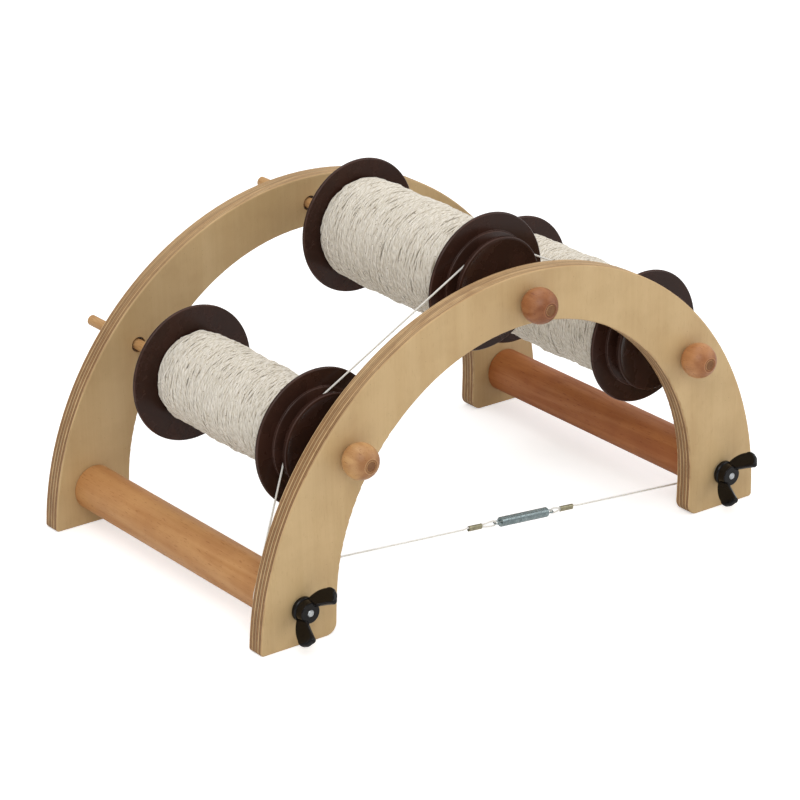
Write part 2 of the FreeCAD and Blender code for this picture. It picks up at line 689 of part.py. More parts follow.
os.makedirs("parts", exist_ok=True)
for node, shape in all_pieces().items():
    shape.exportStep("parts/" + node + ".step")
    box = shape.BoundBox
    print(node, "valid" if shape.isValid() else "INVALID", len(shape.Solids),
          round(shape.Volume), "x %.2f %.2f y %.2f %.2f z %.2f %.2f" % (
              box.XMin, box.XMax, box.YMin, box.YMax, box.ZMin, box.ZMax))
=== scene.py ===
"""Finishes, winds and lights a three-bobbin rack around the frame that the CAD model gives."""

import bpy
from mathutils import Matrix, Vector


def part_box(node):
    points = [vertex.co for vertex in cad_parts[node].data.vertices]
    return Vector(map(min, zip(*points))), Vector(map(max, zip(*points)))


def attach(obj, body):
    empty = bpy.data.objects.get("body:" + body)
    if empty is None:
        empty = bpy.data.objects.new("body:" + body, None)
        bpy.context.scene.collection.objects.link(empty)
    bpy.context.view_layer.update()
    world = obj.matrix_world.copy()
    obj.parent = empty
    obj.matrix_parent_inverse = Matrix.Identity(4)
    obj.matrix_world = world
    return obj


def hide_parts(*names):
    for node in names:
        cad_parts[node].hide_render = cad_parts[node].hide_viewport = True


bl_info = {
    "name": "Bobbin Rack",
    "version": (1, 0, 0),
    "blender": (4, 5, 0),
    "location": "3D View > Sidebar > Bobbin Rack",
    "description": "Gives the bobbin rack its wood, moulded bobbins, wound yarn, brake cord and studio",
    "category": "Object",
}

import bpy
import numpy as np
from bpy.props import FloatProperty, FloatVectorProperty, IntProperty, PointerProperty
from mathutils import Matrix, Vector

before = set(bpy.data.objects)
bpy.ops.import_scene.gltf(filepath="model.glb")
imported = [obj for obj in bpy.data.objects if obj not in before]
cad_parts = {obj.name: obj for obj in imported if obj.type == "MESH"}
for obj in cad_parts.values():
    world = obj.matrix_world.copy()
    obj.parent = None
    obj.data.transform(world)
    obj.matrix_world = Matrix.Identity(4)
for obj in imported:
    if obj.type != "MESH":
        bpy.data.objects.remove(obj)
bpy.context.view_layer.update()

SIDES = ("left", "right")
PLACES = ("left", "middle", "right")
MM = 0.001
TURN = 2.0 * np.pi

# Outer radius of the arches, in metres
ARCH_RADIUS = 0.27
# Turns Y, which runs from arch to arch, into the Z that wood grain runs along
ALONG_RACK = (float(TURN / 4.0), 0.0, 0.0)
# How much of its end grain a ply shows on top of an arch
CROWN_END_GRAIN = 0.6
# Point that the lights are turned to
RACK_MIDDLE = Vector((0.0, 0.0, 0.12))
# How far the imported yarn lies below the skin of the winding
BED_SINK = 2.6 * MM
WOOD_IOR = 1.48
PLASTIC_IOR = 1.5
YARN_IOR = 1.45


def shade(red, green, blue):
    """Turns a display colour from 0 to 255 into the linear one that shaders use."""
    display = np.array([red, green, blue]) / 255.0
    low = display / 12.92
    high = ((display + 0.055) / 1.055) ** 2.4
    return tuple(float(value) for value in np.where(display <= 0.04045, low, high))


def opaque(colour):
    """The colour with a full fourth value, as colour sockets take it."""
    return (*colour, 1.0)


# Sizes and colours that a user would change


def colour_property(name, description, red, green, blue):
    """A colour setting with its swatch, from a display colour."""
    return FloatVectorProperty(
        name=name, description=description, default=shade(red, green, blue), size=3, min=0.0, max=1.0,
        subtype="COLOR",
    )


def length_property(name, description, default, smallest, largest):
    """A length setting in metres."""
    return FloatProperty(
        name=name, description=description, default=default, min=smallest, max=largest,
        precision=5, unit="LENGTH", subtype="DISTANCE",
    )


def angle_property(name, description, degrees):
    """An angle setting, given in degrees and kept in radians."""
    return FloatProperty(
        name=name, description=description, default=float(np.radians(degrees)), unit="ROTATION",
        subtype="ANGLE",
    )


def power_property(name, description, default):
    """A lamp's power in watts."""
    return FloatProperty(
        name=name, description=description, default=default, min=0.0, unit="POWER", subtype="NONE"
    )


class RackFinish(bpy.types.PropertyGroup):
    """Colours of the rack's woods, plastics, metals and fibres."""

    ply_face: colour_property("Ply face", "Clear-coated birch face veneer", 202, 173, 127)
    ply_long: colour_property("Ply long grain", "Plies whose grain runs along the edge", 214, 180, 132)
    ply_end: colour_property("Ply end grain", "Plies whose end grain shows at the edge", 150, 112, 74)
    ply_glue: colour_property("Ply glue line", "Dark glue between the plies", 78, 48, 32)
    bar_left: colour_property("Left bar", "Beech of the left crossbar", 204, 152, 97)
    bar_right: colour_property("Right bar", "Beech of the right crossbar, a redder piece", 184, 117, 66)
    dowel: colour_property("Axle rods", "Pale beech dowel", 206, 164, 112)
    left_knob: colour_property("Left knob", "Turned beech", 209, 165, 113)
    middle_knob: colour_property("Middle knob", "Darker turned beech", 174, 118, 76)
    right_knob: colour_property("Right knob", "Turned beech", 200, 146, 98)
    bobbin: colour_property("Bobbins", "Dark chocolate moulded plastic", 49, 30, 23)
    yarn: colour_property("Yarn", "Undyed spun fibre", 240, 233, 221)
    yarn_fleck: colour_property("Yarn flecks", "Bits of husk caught in the yarn", 120, 96, 66)
    cord: colour_property("Brake cord", "Waxed pale cord", 245, 243, 238)
    spring: colour_property("Spring", "Zinc-plated spring wire", 160, 174, 176)
    crimp: colour_property("Crimps", "Dull greenish metal sleeves", 172, 166, 138)
    zinc: colour_property("Fixings", "Zinc-plated studs, washers and bolts", 204, 208, 210)
    brass: colour_property("Inserts", "Brass threaded inserts", 196, 160, 92)
    nut: colour_property("Wing nuts", "Black glossy plastic", 9, 6, 6)


class RackWinding(bpy.types.PropertyGroup):
    """How the yarn is wound on each bobbin."""

    strand: length_property("Strand radius", "Half the yarn's usual thickness", 1.17 * MM, 0.2 * MM, 3.0 * MM)
    turns: IntProperty(
        name="Bed turns", description="Close turns of the lowest pass", default=69, min=10, max=160
    )
    back_turns: IntProperty(
        name="Return turns", description="Turns of the pass that lies on it", default=46, min=5, max=160
    )
    cross_turns: IntProperty(
        name="Crossing turns", description="Turns of the open passes on top", default=15, min=2, max=60
    )
    hills: length_property("Hills", "How far the winding swells and sinks", 0.9 * MM, 0.0, 5.0 * MM)
    segments: IntProperty(
        name="Steps in a turn", description="Steps that one turn is divided into", default=92, min=12, max=120
    )
    sides: IntProperty(
        name="Strand sides", description="Points round the strand", default=6, min=4, max=12
    )


class RackStudio(bpy.types.PropertyGroup):
    """The camera's stand and the lights."""

    azimuth: angle_property("Azimuth", "Turn of the camera round the rack", -38.888)
    elevation: angle_property("Elevation", "Height of the camera's line of sight", 22.478)
    roll: angle_property("Roll", "Tilt of the camera about its line of sight", 1.12)
    distance: length_property("Distance", "From the camera to the point it looks at", 2.9993, 0.5, 20.0)
    lens: FloatProperty(
        name="Lens", description="Focal length in millimetres", default=156.36, min=10.0, max=500.0,
        unit="CAMERA",
    )
    target: FloatVectorProperty(
        name="Target", description="Point that the camera looks at",
        default=(-0.00653, -0.0115, 0.10637), size=3, unit="LENGTH", subtype="TRANSLATION",
    )
    key: power_property("Key light", "Large soft light above the left front", 17.0)
    fill: power_property("Fill light", "Soft light from the right front", 11.0)
    top: power_property("Top light", "Overhead panel", 11.0)
    sky: FloatProperty(
        name="Room light", description="Strength of the pale surroundings", default=0.55, min=0.0, max=3.0
    )
    floor: colour_property("Floor", "Pale floor", 246, 246, 246)
    glow: FloatProperty(
        name="Floor glow", description="Brightness that only the camera sees on the floor", default=0.5,
        min=0.0, max=2.0,
    )


# Node trees


class Wiring:
    """Fills a node tree: each call adds one node, sets it, and joins it to what feeds it."""

    def __init__(self, tree):
        self.tree = tree

    def add(self, kind, feeds=(), **settings):
        """Adds a node; feeds pairs a socket's name or number with a value or with another node's output."""
        node = self.tree.nodes.new(kind)
        for key, value in settings.items():
            setattr(node, key, value)
        for key, value in dict(feeds).items():
            self.supply(node.inputs[key], value)
        return node

    def supply(self, socket, value):
        """Joins an input to another node's output, or sets it to a plain value."""
        if isinstance(value, bpy.types.NodeSocket):
            self.tree.links.new(value, socket)
        else:
            socket.default_value = value

    def feed(self, node, **feeds):
        """Supplies a node's inputs by name, with low lines for spaces."""
        for key, value in feeds.items():
            self.supply(node.inputs[key.replace("_", " ")], value)

    def math(self, operation, first, second=0.0, third=0.0, clamp=False):
        """One sum on numbers."""
        feeds = {0: first, 1: second, 2: third}
        return self.add("ShaderNodeMath", feeds, operation=operation, use_clamp=clamp).outputs[0]

    def vector(self, operation, first, second=(0.0, 0.0, 0.0)):
        """One sum on vectors."""
        node = self.add("ShaderNodeVectorMath", {0: first, 1: second}, operation=operation)
        return node.outputs["Value" if operation == "LENGTH" else "Vector"]

    def noise(self, place, scale, detail=2.0, roughness=0.5, distortion=0.0):
        """Cloudy noise from 0 to 1 at that many features to the metre."""
        node = self.add("ShaderNodeTexNoise")
        self.feed(node, Vector=place, Scale=scale, Detail=detail, Roughness=roughness, Distortion=distortion)
        return node.outputs["Fac"]

    def step(self, value, low, high, start=0.0, end=1.0):
        """Eases from start to end as value goes from low to high."""
        feeds = {"Value": value, "From Min": low, "From Max": high, "To Min": start, "To Max": end}
        node = self.add("ShaderNodeMapRange", feeds, interpolation_type="SMOOTHSTEP", clamp=True)
        return node.outputs["Result"]

    def mix(self, amount, first, second, blend="MIX"):
        """Mixes two colours."""
        node = self.add("ShaderNodeMix", {0: amount, 6: first, 7: second}, data_type="RGBA", blend_type=blend)
        return node.outputs[2]

    def stain(self, tint, mask, share, colour, blend="MIX"):
        """Lays a colour over another where a mask says, at no more than that share."""
        return self.mix(self.math("MULTIPLY", mask, share), tint, opaque(colour), blend)

    def blend(self, amount, first, second):
        """Mixes two numbers."""
        return self.add("ShaderNodeMix", {0: amount, 2: first, 3: second}, data_type="FLOAT").outputs[0]

    def stretch(self, place, factors):
        """Scales a place by one factor for each direction, which draws a pattern out along the smallest."""
        return self.vector("MULTIPLY", place, factors)

    def parts(self, place):
        """The three numbers of a vector."""
        return self.add("ShaderNodeSeparateXYZ", {0: place}).outputs

    def join(self, x, y, z):
        """A vector from three numbers."""
        return self.add("ShaderNodeCombineXYZ", {0: x, 1: y, 2: z}).outputs[0]

    def group(self, name, make, **feeds):
        """Places the shared group of that name, which is made the first time that it is asked for."""
        tree = bpy.data.node_groups.get(name) or make(name)
        node = self.add("ShaderNodeGroup", node_tree=tree)
        self.feed(node, **feeds)
        return node.outputs


def group_tree(name, inputs, outputs):
    """An empty shared group with named sockets, its wiring, its input sockets and its output node."""
    tree = bpy.data.node_groups.new(name, "ShaderNodeTree")
    for label, kind, default in inputs:
        socket = tree.interface.new_socket(name=label, in_out="INPUT", socket_type="NodeSocket" + kind)
        if default is not None:
            socket.default_value = default
    for label, kind in outputs:
        tree.interface.new_socket(name=label, in_out="OUTPUT", socket_type="NodeSocket" + kind)
    wiring = Wiring(tree)
    return tree, wiring, wiring.add("NodeGroupInput").outputs, wiring.add("NodeGroupOutput")


def make_wood_grain(name):
    """Wood with its grain along Z: ring figure, fibres, short flecks and a slow change of tone."""
    tree, wiring, given, result = group_tree(
        name,
        [
            ("Vector", "Vector", None),
            ("Early Wood", "Color", (0.6, 0.4, 0.2, 1.0)),
            ("Late Wood", "Color", (0.4, 0.2, 0.1, 1.0)),
            ("Figure", "Float", 60.0),
            ("Contrast", "Float", 0.5),
            ("Flecks", "Float", 0.4),
        ],
        [("Color", "Color"), ("Tone", "Float"), ("Height", "Float")],
    )
    place = given["Vector"]
    drawn = wiring.stretch(place, (1.0, 1.0, 0.09))
    bend = wiring.noise(drawn, 22.0, 2.0)
    rings = wiring.noise(drawn, given["Figure"], 2.0, 0.45, 0.6)
    bands = wiring.math("SINE", wiring.math("MULTIPLY_ADD", rings, 42.0, wiring.math("MULTIPLY", bend, 9.0)))
    figure = wiring.math("MULTIPLY_ADD", bands, 0.5, 0.5)
    fibres = wiring.noise(wiring.stretch(place, (1.0, 1.0, 0.022)), 1300.0, 3.0, 0.6)
    streaks = wiring.noise(wiring.stretch(place, (1.0, 1.0, 0.03)), 260.0, 3.0, 0.55)
    slow = wiring.noise(wiring.stretch(place, (1.0, 1.0, 0.35)), 14.0, 3.0)
    dashes = wiring.noise(wiring.stretch(place, (1.0, 1.0, 0.13)), 1000.0, 1.0)
    flecks = wiring.math("MULTIPLY", wiring.step(dashes, 0.63, 0.74), given["Flecks"])
    tone = wiring.math("MULTIPLY", figure, 0.42)
    tone = wiring.math("MULTIPLY_ADD", streaks, 0.75, tone)
    tone = wiring.math("MULTIPLY_ADD", fibres, 0.45, tone)
    tone = wiring.math("MULTIPLY_ADD", slow, 0.85, tone)
    tone = wiring.step(tone, 0.75, 1.70)
    late = wiring.math("MULTIPLY", tone, given["Contrast"], clamp=True)
    colour = wiring.mix(late, given["Early Wood"], given["Late Wood"])
    colour = wiring.mix(flecks, colour, given["Late Wood"], "MULTIPLY")
    height = wiring.math("SUBTRACT", wiring.math("MULTIPLY", fibres, 0.6), flecks)
    wiring.feed(result, Color=colour, Tone=tone, Height=height)
    return tree


def make_ply_layers(name):
    """Plies across a board, from the depth in it: masks of cross plies and of glue, and each ply's shade."""
    tree, wiring, given, result = group_tree(
        name,
        [
            ("Vector", "Vector", None),
            ("Depth", "Float", 0.0),
            ("Thickness", "Float", 0.0175),
            ("Plies", "Float", 9.0),
        ],
        [("Cross Ply", "Float"), ("Glue", "Float"), ("Ply Shade", "Float")],
    )
    wander = wiring.noise(given["Vector"], 45.0, 3.0)
    depth = wiring.math("MULTIPLY_ADD", wiring.math("SUBTRACT", wander, 0.5), 0.0007, given["Depth"])
    count = wiring.math("MULTIPLY", wiring.math("DIVIDE", depth, given["Thickness"]), given["Plies"])
    number = wiring.math("FLOOR", count)
    cross = wiring.math("FLOORED_MODULO", number, 2.0)
    rest = wiring.math("FRACT", count)
    near = wiring.math("MINIMUM", rest, wiring.math("SUBTRACT", 1.0, rest))
    line = wiring.step(near, 0.08, 0.17, 1.0, 0.0)
    last, before_last = (wiring.math("SUBTRACT", given["Plies"], edge) for edge in (0.4, 0.6))
    inside = wiring.math("MULTIPLY", wiring.step(count, 0.4, 0.6), wiring.step(count, last, before_last))
    broken = wiring.step(wiring.noise(given["Vector"], 130.0, 2.0), 0.30, 0.55, 0.60, 1.0)
    glue = wiring.math("MULTIPLY", wiring.math("MULTIPLY", line, inside), broken)
    seed = wiring.math("ADD", number, 3.7)
    own_shade = wiring.add("ShaderNodeTexWhiteNoise", {"W": seed}, noise_dimensions="1D").outputs["Value"]
    wiring.feed(result, Cross_Ply=cross, Glue=glue, Ply_Shade=own_shade)
    return tree


def make_handling(name):
    """Marks of use: cloudy smears, fine hairline scuffs and small settled specks."""
    tree, wiring, given, result = group_tree(
        name,
        [("Vector", "Vector", None), ("Smear Size", "Float", 30.0), ("Speck Size", "Float", 1400.0)],
        [("Smears", "Float"), ("Scuffs", "Float"), ("Specks", "Float")],
    )
    place = given["Vector"]
    smears = wiring.step(wiring.noise(place, given["Smear Size"], 4.0, 0.6), 0.38, 0.66)
    slanted = wiring.add(
        "ShaderNodeMapping", {"Vector": place, "Rotation": (0.5, 0.9, 0.3), "Scale": (1.0, 0.05, 1.0)}
    ).outputs[0]
    hairs = wiring.noise(slanted, 1800.0, 2.0, 0.6)
    scuffs = wiring.math("MULTIPLY", wiring.step(hairs, 0.66, 0.74), smears)
    cells = wiring.add("ShaderNodeTexVoronoi", {"Vector": place, "Scale": given["Speck Size"]}, feature="F1")
    chosen = wiring.step(wiring.parts(cells.outputs["Color"])[0], 0.955, 0.965)
    specks = wiring.math("MULTIPLY", wiring.step(cells.outputs["Distance"], 0.10, 0.22, 1.0, 0.0), chosen)
    wiring.feed(result, Smears=smears, Scuffs=scuffs, Specks=specks)
    return tree


def make_turned_rings(name):
    """Fine rings about the Y axis, as turning or moulding leaves them, and the distance from that axis."""
    tree, wiring, given, result = group_tree(
        name,
        [("Vector", "Vector", None), ("Rings", "Float", 900.0)],
        [("Radius", "Float"), ("Rings", "Float")],
    )
    flat = wiring.stretch(given["Vector"], (1.0, 0.0, 1.0))
    radius = wiring.vector("LENGTH", flat)
    lines = wiring.noise(wiring.join(radius, 0.0, 0.0), given["Rings"], 3.0, 0.65)
    wiring.feed(result, Radius=radius, Rings=lines)
    return tree


def make_spun_fibre(name):
    """Twisted fibre on a strand's map, whose first number is metres along it and second is turns round it."""
    tree, wiring, given, result = group_tree(
        name,
        [("Vector", "Vector", None), ("Twist", "Float", 260.0), ("Plies", "Float", 2.0)],
        [("Fibre", "Float"), ("Slow", "Float"), ("Height", "Float")],
    )
    along, around, _ = wiring.parts(given["Vector"])
    lean = wiring.math("MULTIPLY_ADD", along, given["Twist"], wiring.math("MULTIPLY", around, given["Plies"]))
    wave = wiring.math("SINE", wiring.math("MULTIPLY", lean, float(TURN)))
    ply = wiring.math("MULTIPLY_ADD", wave, 0.5, 0.5)
    circle = wiring.math("MULTIPLY", around, float(TURN))
    ring_x = wiring.math("MULTIPLY", wiring.math("COSINE", circle), 2.2)
    ring_y = wiring.math("MULTIPLY", wiring.math("SINE", circle), 2.2)
    fine_place = wiring.join(wiring.math("MULTIPLY", along, 420.0), ring_x, ring_y)
    fibre = wiring.noise(fine_place, 1.0, 3.0, 0.65, 0.8)
    slow = wiring.noise(wiring.join(wiring.math("MULTIPLY", along, 38.0), 0.0, 0.0), 1.0, 3.0, 0.6)
    height = wiring.math("MULTIPLY_ADD", fibre, 0.6, ply)
    wiring.feed(result, Fibre=fibre, Slow=slow, Height=height)
    return tree


def make_plating(name):
    """Plated metal: cloudy dulling, tiny spangles and a fine unevenness."""
    tree, wiring, given, result = group_tree(
        name,
        [("Vector", "Vector", None), ("Grain", "Float", 900.0)],
        [("Cloud", "Float"), ("Spangle", "Float"), ("Height", "Float")],
    )
    cloud = wiring.noise(given["Vector"], 220.0, 4.0, 0.6)
    feeds = {"Vector": given["Vector"], "Scale": given["Grain"]}
    cells = wiring.add("ShaderNodeTexVoronoi", feeds, feature="F1")
    spangle = wiring.parts(cells.outputs["Color"])[1]
    height = wiring.noise(given["Vector"], 2600.0, 2.0, 0.6)
    wiring.feed(result, Cloud=cloud, Spangle=spangle, Height=height)
    return tree


# Materials


def toned(colour, red, green, blue):
    """The colour with each channel scaled, and no brighter than full."""
    return tuple(min(1.0, channel * factor) for channel, factor in zip(colour, (red, green, blue)))


def start_material(name, **constants):
    """A material with one Principled shader; constants go straight on its sockets, low lines for spaces."""
    material = bpy.data.materials.new(name)
    material.use_nodes = True
    material.node_tree.nodes.clear()
    wiring = Wiring(material.node_tree)
    shader = wiring.add("ShaderNodeBsdfPrincipled")
    wiring.feed(shader, **constants)
    output = wiring.add("ShaderNodeOutputMaterial")
    wiring.tree.links.new(shader.outputs[0], output.inputs[0])
    return material, wiring, shader


def object_place(wiring, location=(0.0, 0.0, 0.0), rotation=(0.0, 0.0, 0.0)):
    """Object coordinates, moved and turned by a Mapping node."""
    source = wiring.add("ShaderNodeTexCoord").outputs["Object"]
    feeds = {"Vector": source, "Location": location, "Rotation": rotation}
    return wiring.add("ShaderNodeMapping", feeds).outputs[0]


def centred_place(wiring, centre):
    """Object coordinates measured from a centre."""
    return object_place(wiring, tuple(-value for value in centre))


def surface_normal(wiring):
    """The surface's direction in the object's own axes, as three numbers."""
    return wiring.parts(wiring.add("ShaderNodeTexCoord").outputs["Normal"])


def finish_surface(wiring, shader, colour, roughness, height, depth, strength=1.0):
    """Joins colour, roughness and a bump of that depth in metres to the shader."""
    bump = wiring.add("ShaderNodeBump", {"Strength": strength, "Distance": depth, "Height": height})
    wiring.feed(shader, Base_Color=colour, Roughness=roughness, Normal=bump.outputs[0])


def wood_grain(wiring, place, early, late, figure, contrast, flecks):
    """The shared wood grain at a place whose Z runs along the grain, between two colours."""
    return wiring.group(
        "Wood Grain", make_wood_grain, Vector=place, Early_Wood=opaque(early), Late_Wood=opaque(late),
        Figure=figure, Contrast=contrast, Flecks=flecks,
    )


def handling(wiring, place, smear_size, speck_size):
    """The shared marks of use, whose sizes are features to the metre."""
    return wiring.group(
        "Handling Marks", make_handling, Vector=place, Smear_Size=smear_size, Speck_Size=speck_size
    )


def spun_fibre(wiring, twist, plies):
    """The shared twisted fibre on the strand's own map."""
    strand = wiring.add("ShaderNodeUVMap", uv_map="Strand").outputs[0]
    return wiring.group("Spun Fibre", make_spun_fibre, Vector=strand, Twist=twist, Plies=plies)


def plywood(name, finish, front_face, thickness):
    """Birch plywood in the XZ plane: upright veneer on the faces, nine plies counted along Y on the edges.

    Every other ply lies crosswise, so round the arch each ply's edge turns from long grain to end grain.
    """
    material, wiring, shader = start_material(name, IOR=WOOD_IOR, Specular_IOR_Level=0.35)
    place = object_place(wiring)

    face_place = object_place(wiring, (0.31, front_face, 0.17), (0.0, 0.05, 0.0))
    face_colour = tuple(finish.ply_face)
    face = wood_grain(
        wiring, wiring.stretch(face_place, (1.0, 0.25, 1.0)), face_colour,
        toned(face_colour, 0.80, 0.72, 0.62), figure=7.0, contrast=0.46, flecks=0.12,
    )

    x, y, z = wiring.parts(place)
    depth = wiring.math("SUBTRACT", y, front_face)
    plies = wiring.group("Ply Layers", make_ply_layers, Vector=place, Depth=depth, Thickness=thickness)
    reach = wiring.vector("LENGTH", wiring.join(x, 0.0, z))
    sweep = wiring.math("MULTIPLY", wiring.math("ARCTAN2", z, x), ARCH_RADIUS)
    edge_place = wiring.join(y, reach, sweep)
    long_colour = tuple(finish.ply_long)
    long_ply = wood_grain(
        wiring, edge_place, long_colour, toned(long_colour, 0.66, 0.58, 0.52),
        figure=60.0, contrast=0.9, flecks=0.5,
    )
    end_colour = tuple(finish.ply_end)
    pores = wiring.noise(wiring.stretch(edge_place, (1.0, 1.0, 0.35)), 1500.0, 3.0, 0.65)
    end_ply = wiring.mix(
        wiring.step(pores, 0.35, 0.68), opaque(end_colour), opaque(toned(end_colour, 1.45, 1.45, 1.45))
    )
    sideways, across, upward = (wiring.math("ABSOLUTE", part) for part in surface_normal(wiring))
    crossing = wiring.math("MULTIPLY", sideways, plies["Cross Ply"])
    along_ply = wiring.math("SUBTRACT", 1.0, plies["Cross Ply"])
    straight = wiring.math("MULTIPLY", wiring.math("MULTIPLY", upward, CROWN_END_GRAIN), along_ply)
    end_share = wiring.step(wiring.math("ADD", crossing, straight), 0.45, 0.85)
    edge = wiring.mix(end_share, long_ply["Color"], end_ply)
    dull = wiring.step(plies["Ply Shade"], 0.0, 1.0, 0.84, 1.06)
    edge = wiring.mix(1.0, edge, wiring.join(dull, dull, dull), "MULTIPLY")
    glued = wiring.math("MULTIPLY", plies["Glue"], wiring.step(upward, 0.70, 0.98, 0.92, 0.45))
    edge = wiring.mix(glued, edge, opaque(tuple(finish.ply_glue)))

    on_face = wiring.step(across, 0.55, 0.92)
    colour = wiring.mix(on_face, edge, face["Color"])
    use = handling(wiring, place, 24.0, 520.0)
    colour = wiring.stain(colour, use["Smears"], 0.10, shade(150, 118, 82), "MULTIPLY")
    colour = wiring.stain(colour, use["Specks"], 0.45, shade(110, 78, 50))
    rough_face = wiring.step(use["Smears"], 0.0, 1.0, 0.40, 0.50)
    rough_edge = wiring.step(end_share, 0.0, 1.0, 0.52, 0.66)
    sunken = wiring.math("MULTIPLY_ADD", end_share, 0.5, plies["Glue"])
    edge_height = wiring.math("SUBTRACT", wiring.math("MULTIPLY", long_ply["Height"], 0.4), sunken)
    height = wiring.blend(on_face, edge_height, wiring.math("MULTIPLY", face["Height"], 0.20))
    roughness = wiring.blend(on_face, rough_edge, rough_face)
    finish_surface(wiring, shader, colour, roughness, height, 0.12 * MM, 0.7)
    return material


def long_beech(name, colour, offset, figure=22.0, contrast=0.62, end_tone=(0.56, 0.50, 0.44)):
    """Oiled beech whose grain runs along the rack, from one arch to the other, darker on its cut ends."""
    material, wiring, shader = start_material(name, IOR=WOOD_IOR, Specular_IOR_Level=0.35)
    late = toned(colour, 0.74, 0.60, 0.48)
    place = object_place(wiring, offset, ALONG_RACK)
    wood = wood_grain(wiring, place, colour, late, figure=figure, contrast=contrast, flecks=0.4)
    use = handling(wiring, object_place(wiring), 28.0, 700.0)
    end = wiring.step(wiring.math("ABSOLUTE", surface_normal(wiring)[1]), 0.80, 0.97)
    tint = wiring.mix(end, wood["Color"], opaque(end_tone), "MULTIPLY")
    tint = wiring.stain(tint, use["Smears"], 0.14, late, "MULTIPLY")
    tint = wiring.stain(tint, use["Specks"], 0.5, shade(70, 42, 24))
    roughness = wiring.step(wood["Tone"], 0.0, 1.0, 0.42, 0.56)
    finish_surface(wiring, shader, tint, roughness, wood["Height"], 0.10 * MM, 0.6)
    return material


def turned_beech(name, colour, centre, rim_radius):
    """A turned knob on the Y axis: long grain on its sides, darker end grain in front, and a pale ring
    painted round the flat's rim as a highlight.
    """
    material, wiring, shader = start_material(name, IOR=WOOD_IOR, Specular_IOR_Level=0.4)
    centred = centred_place(wiring, centre)
    place = object_place(wiring, (centre[0] * 3.0, centre[2] * 2.0, 0.0), ALONG_RACK)
    late = toned(colour, 0.66, 0.52, 0.42)
    wood = wood_grain(wiring, place, colour, late, figure=26.0, contrast=0.75, flecks=0.45)
    rings = wiring.group("Turned Rings", make_turned_rings, Vector=centred, Rings=1500.0)
    facing = wiring.math("MULTIPLY", surface_normal(wiring)[1], -1.0)
    end_grain = wiring.mix(
        wiring.noise(wiring.stretch(centred, (1.0, 0.1, 1.0)), 1600.0, 3.0, 0.7),
        opaque(toned(colour, 0.34, 0.24, 0.18)), opaque(toned(colour, 0.56, 0.46, 0.38)),
    )
    # Pale ring round the flat's rim: a painted highlight
    from_rim = wiring.math("ABSOLUTE", wiring.math("SUBTRACT", rings["Radius"], rim_radius))
    rim_highlight_band = wiring.step(from_rim, 0.1 * MM, 0.4 * MM, 1.0, 0.0)
    rim = wiring.math("MULTIPLY", rim_highlight_band, wiring.step(facing, 0.6, 0.8))
    soaked = wiring.step(facing, 0.30, 0.95)
    tint = wiring.stain(wood["Color"], soaked, 0.8, (0.60, 0.47, 0.40), "MULTIPLY")
    tint = wiring.mix(wiring.step(facing, 0.955, 0.985), tint, end_grain)
    # Lays the painted highlight on the flat's rim
    tint = wiring.stain(tint, rim, 0.6, colour)
    use = handling(wiring, centred, 70.0, 900.0)
    tint = wiring.stain(tint, use["Smears"], 0.18, late, "MULTIPLY")
    roughness = wiring.step(rings["Rings"], 0.3, 0.7, 0.34, 0.48)
    height = wiring.math("MULTIPLY_ADD", rings["Rings"], 0.8, wood["Height"])
    finish_surface(wiring, shader, tint, roughness, height, 0.08 * MM, 0.6)
    return material


def dusty_plastic(wiring, tint, use, speck_share, scuff_share, dust, smoothest, roughest):
    """Dust over a plastic's colour, and the roughness that its smears and scuffs give it."""
    scuffed = wiring.math("MULTIPLY", use["Scuffs"], scuff_share)
    amount = wiring.math("MULTIPLY_ADD", use["Specks"], speck_share, scuffed)
    smeared = wiring.step(use["Smears"], 0.0, 1.0, smoothest, roughest)
    return wiring.mix(amount, tint, opaque(dust)), wiring.math("MULTIPLY_ADD", use["Scuffs"], 0.2, smeared)


def moulded_bobbin(name, colour, centre, rim):
    """Dark moulded plastic about the Y axis: satin, faint rings, a painted highlight along the rounded
    arrises, and a little dust.
    """
    material, wiring, shader = start_material(name, IOR=PLASTIC_IOR, Specular_IOR_Level=0.19)
    centred = centred_place(wiring, centre)
    rings = wiring.group("Turned Rings", make_turned_rings, Vector=centred, Rings=700.0)
    use = handling(wiring, centred, 38.0, 650.0)
    # Painted highlight: a pale copy of the plastic's colour, laid on the rounded arrises below
    highlight_tint = tuple(min(1.0, channel * 3.2 + 0.02) for channel in colour)
    tint = wiring.stain(opaque(colour), use["Smears"], 0.55, toned(colour, 1.5, 1.3, 1.2))
    along = wiring.math("ABSOLUTE", surface_normal(wiring)[1])
    arris = wiring.math("MULTIPLY", wiring.step(along, 0.25, 0.5), wiring.step(along, 0.7, 0.9, 1.0, 0.0))
    painted_highlight = wiring.math("MULTIPLY", arris, wiring.step(rings["Radius"], rim * 0.5, rim * 0.7, 0.2, 1.0))
    painted_highlight = wiring.math("MULTIPLY", painted_highlight, wiring.step(use["Smears"], 0.0, 1.0, 0.22, 0.5))
    # Lays the painted highlight on the arrises, fullest towards the rim and under smears
    tint = wiring.mix(painted_highlight, tint, opaque(highlight_tint))
    tint, roughness = dusty_plastic(wiring, tint, use, 0.05, 0.03, shade(140, 122, 108), 0.22, 0.31)
    height = wiring.math("MULTIPLY_ADD", rings["Rings"], 0.5, wiring.noise(centred, 420.0, 2.0))
    finish_surface(wiring, shader, tint, roughness, height, 0.06 * MM, 0.6)
    return material


